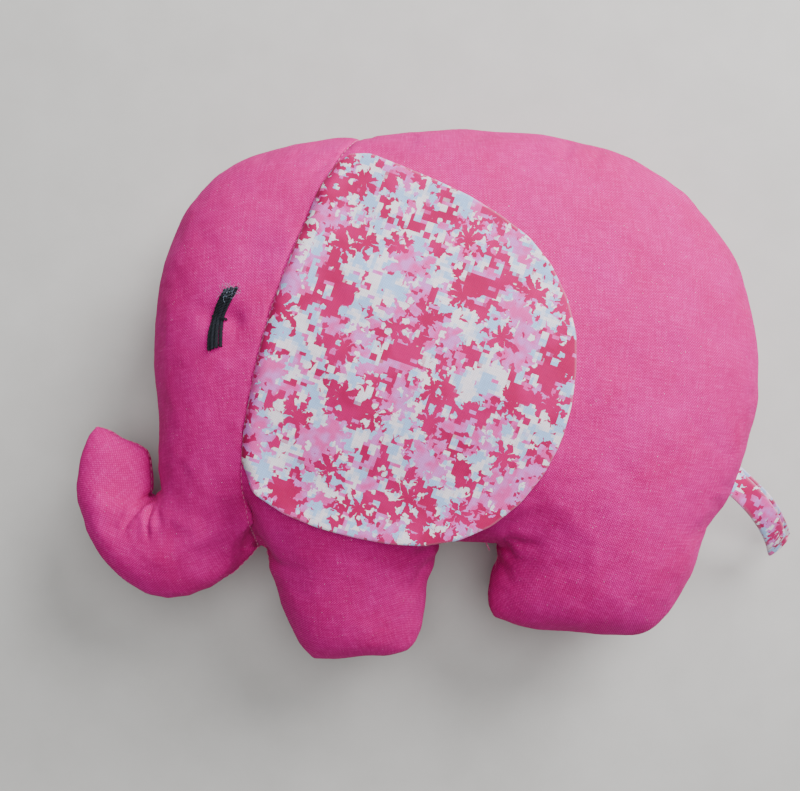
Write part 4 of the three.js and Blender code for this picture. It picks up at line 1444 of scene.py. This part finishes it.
sewing = {
    "pitch": 2.5 * mm,
    "length": 1.7 * mm,
    "thickness": 0.17 * mm,
    "sink": 0.62 * mm,          # how deep the stitches lie in the seam's groove
    "closingRadius": 0.16 * mm,
}


def outerSeamLine():
    way = np.roll(fineRim, -1, axis=0) - np.roll(fineRim, 1, axis=0)
    way /= np.linalg.norm(way, axis=1)[:, None]
    inward = np.column_stack([-way[:, 1], way[:, 0]])
    plan = fineRim + inward * sewing["sink"]
    line = np.column_stack([plan, np.full(len(plan), seamZ)])
    close = [clothTree["near"].find_nearest(Vector(p))[3] < 0.8 * mm for p in line]
    runs, run = [], []
    for point, good in zip(line, close):
        if good:
            run.append(point)
        elif run:
            runs.append(np.array(run))
            run = []
    runs.append(np.array(run))
    return [r for r in runs if len(r) > 4]


def headSeamPath(side):
    plan = resample(headSeam, 1 * mm)[2:-2]
    heights = skinHeight(side, plan)[0]
    good = ~np.isnan(heights)
    lift = (0.05 if side == "near" else -0.05) * mm
    return np.column_stack([plan[good], heights[good] + lift])


def closingPath():
    low, high = np.array(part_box("closing_stitches"))
    places = []
    for k, x in enumerate(np.arange(low[0] + 0.5 * mm, high[0], 1.5 * mm)):
        near = fineRim[np.abs(fineRim[:, 0] - x) < 2 * mm]
        near = near[np.abs(near[:, 1] - low[1]) < 8 * mm]
        y = near[:, 1].mean() + 0.1 * mm
        places.append((x, y - (0.3 * mm if k % 2 else 0), seamZ + (1.15 * mm, 0, -1.15 * mm, 0)[k % 4]))
    return np.array(places)


for name, paths in (("outerSeamStitches", outerSeamLine()),
                    ("headSeamStitches", [headSeamPath("near"), headSeamPath("far")])):
    line = lineObject("line", paths)
    grow(name, line, "stitch", "pink_thread", Pitch=sewing["pitch"], Length=sewing["length"],
         Thickness=sewing["thickness"], Seed=3)
    bpy.data.objects.remove(line)
line = lineObject("line", [resample(closingPath(), 0.3 * mm)])
closing = grow("closingStitches", line, "yarn", "pink_thread", Plies=2,
               Ply_Radius=sewing["closingRadius"], Twist_Length=1.2 * mm, Step=0.25 * mm)
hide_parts("closing_stitches")
bpy.data.objects.remove(line)
print("seams stitched")


camera = {
    "above": 355 * mm,           # lens over the seam plane
    "aim": (-17.6 * mm, 0.3 * mm),
    "field": 294.1 * mm,         # width seen at the seam plane
}


def makeCamera():
    data = bpy.data.cameras.new("camera")
    data.sensor_width = 36
    data.lens = data.sensor_width * camera["above"] / camera["field"]
    data.clip_start = 0.01
    obj = bpy.data.objects.new("camera", data)
    bpy.context.scene.collection.objects.link(obj)
    obj.location = (*camera["aim"], seamZ + camera["above"])
    bpy.context.scene.camera = obj


def areaLight(name, place, aim, size, power, color):
    data = bpy.data.lights.new(name, "AREA")
    data.shape = "DISK"
    data.size = size
    data.energy = power
    data.color = color
    obj = bpy.data.objects.new(name, data)
    bpy.context.scene.collection.objects.link(obj)
    obj.location = place
    obj.rotation_mode = "QUATERNION"
    obj.rotation_quaternion = (Vector(aim) - Vector(place)).to_track_quat("-Z", "Y")


def makeLights():
    areaLight("window", (0.5, 0.6, 0.60), (0, 0, 0.03), 0.6, 18, (0.97, 0.97, 1.0))
    areaLight("ceiling", (0.1, 0.15, 1.3), (0, 0, 0), 1.0, 15, (0.97, 0.98, 1.0))
    world = bpy.data.worlds.new("room")
    bpy.context.scene.world = world
    world.use_nodes = True
    world.node_tree.nodes["Background"].inputs["Color"].default_value = (0.9, 0.93, 1.0, 1)
    world.node_tree.nodes["Background"].inputs["Strength"].default_value = 0.07


def makeFloor():
    size = 1.5
    level = -0.2 * mm
    corners = [(-size, -size, level), (size, -size, level), (size, size, level), (-size, size, level)]
    floor = newObject("floor", corners, [(0, 1, 2, 3)], smooth=False)
    floor.data.materials.append(paleFloor())


makeCamera()
makeLights()
makeFloor()
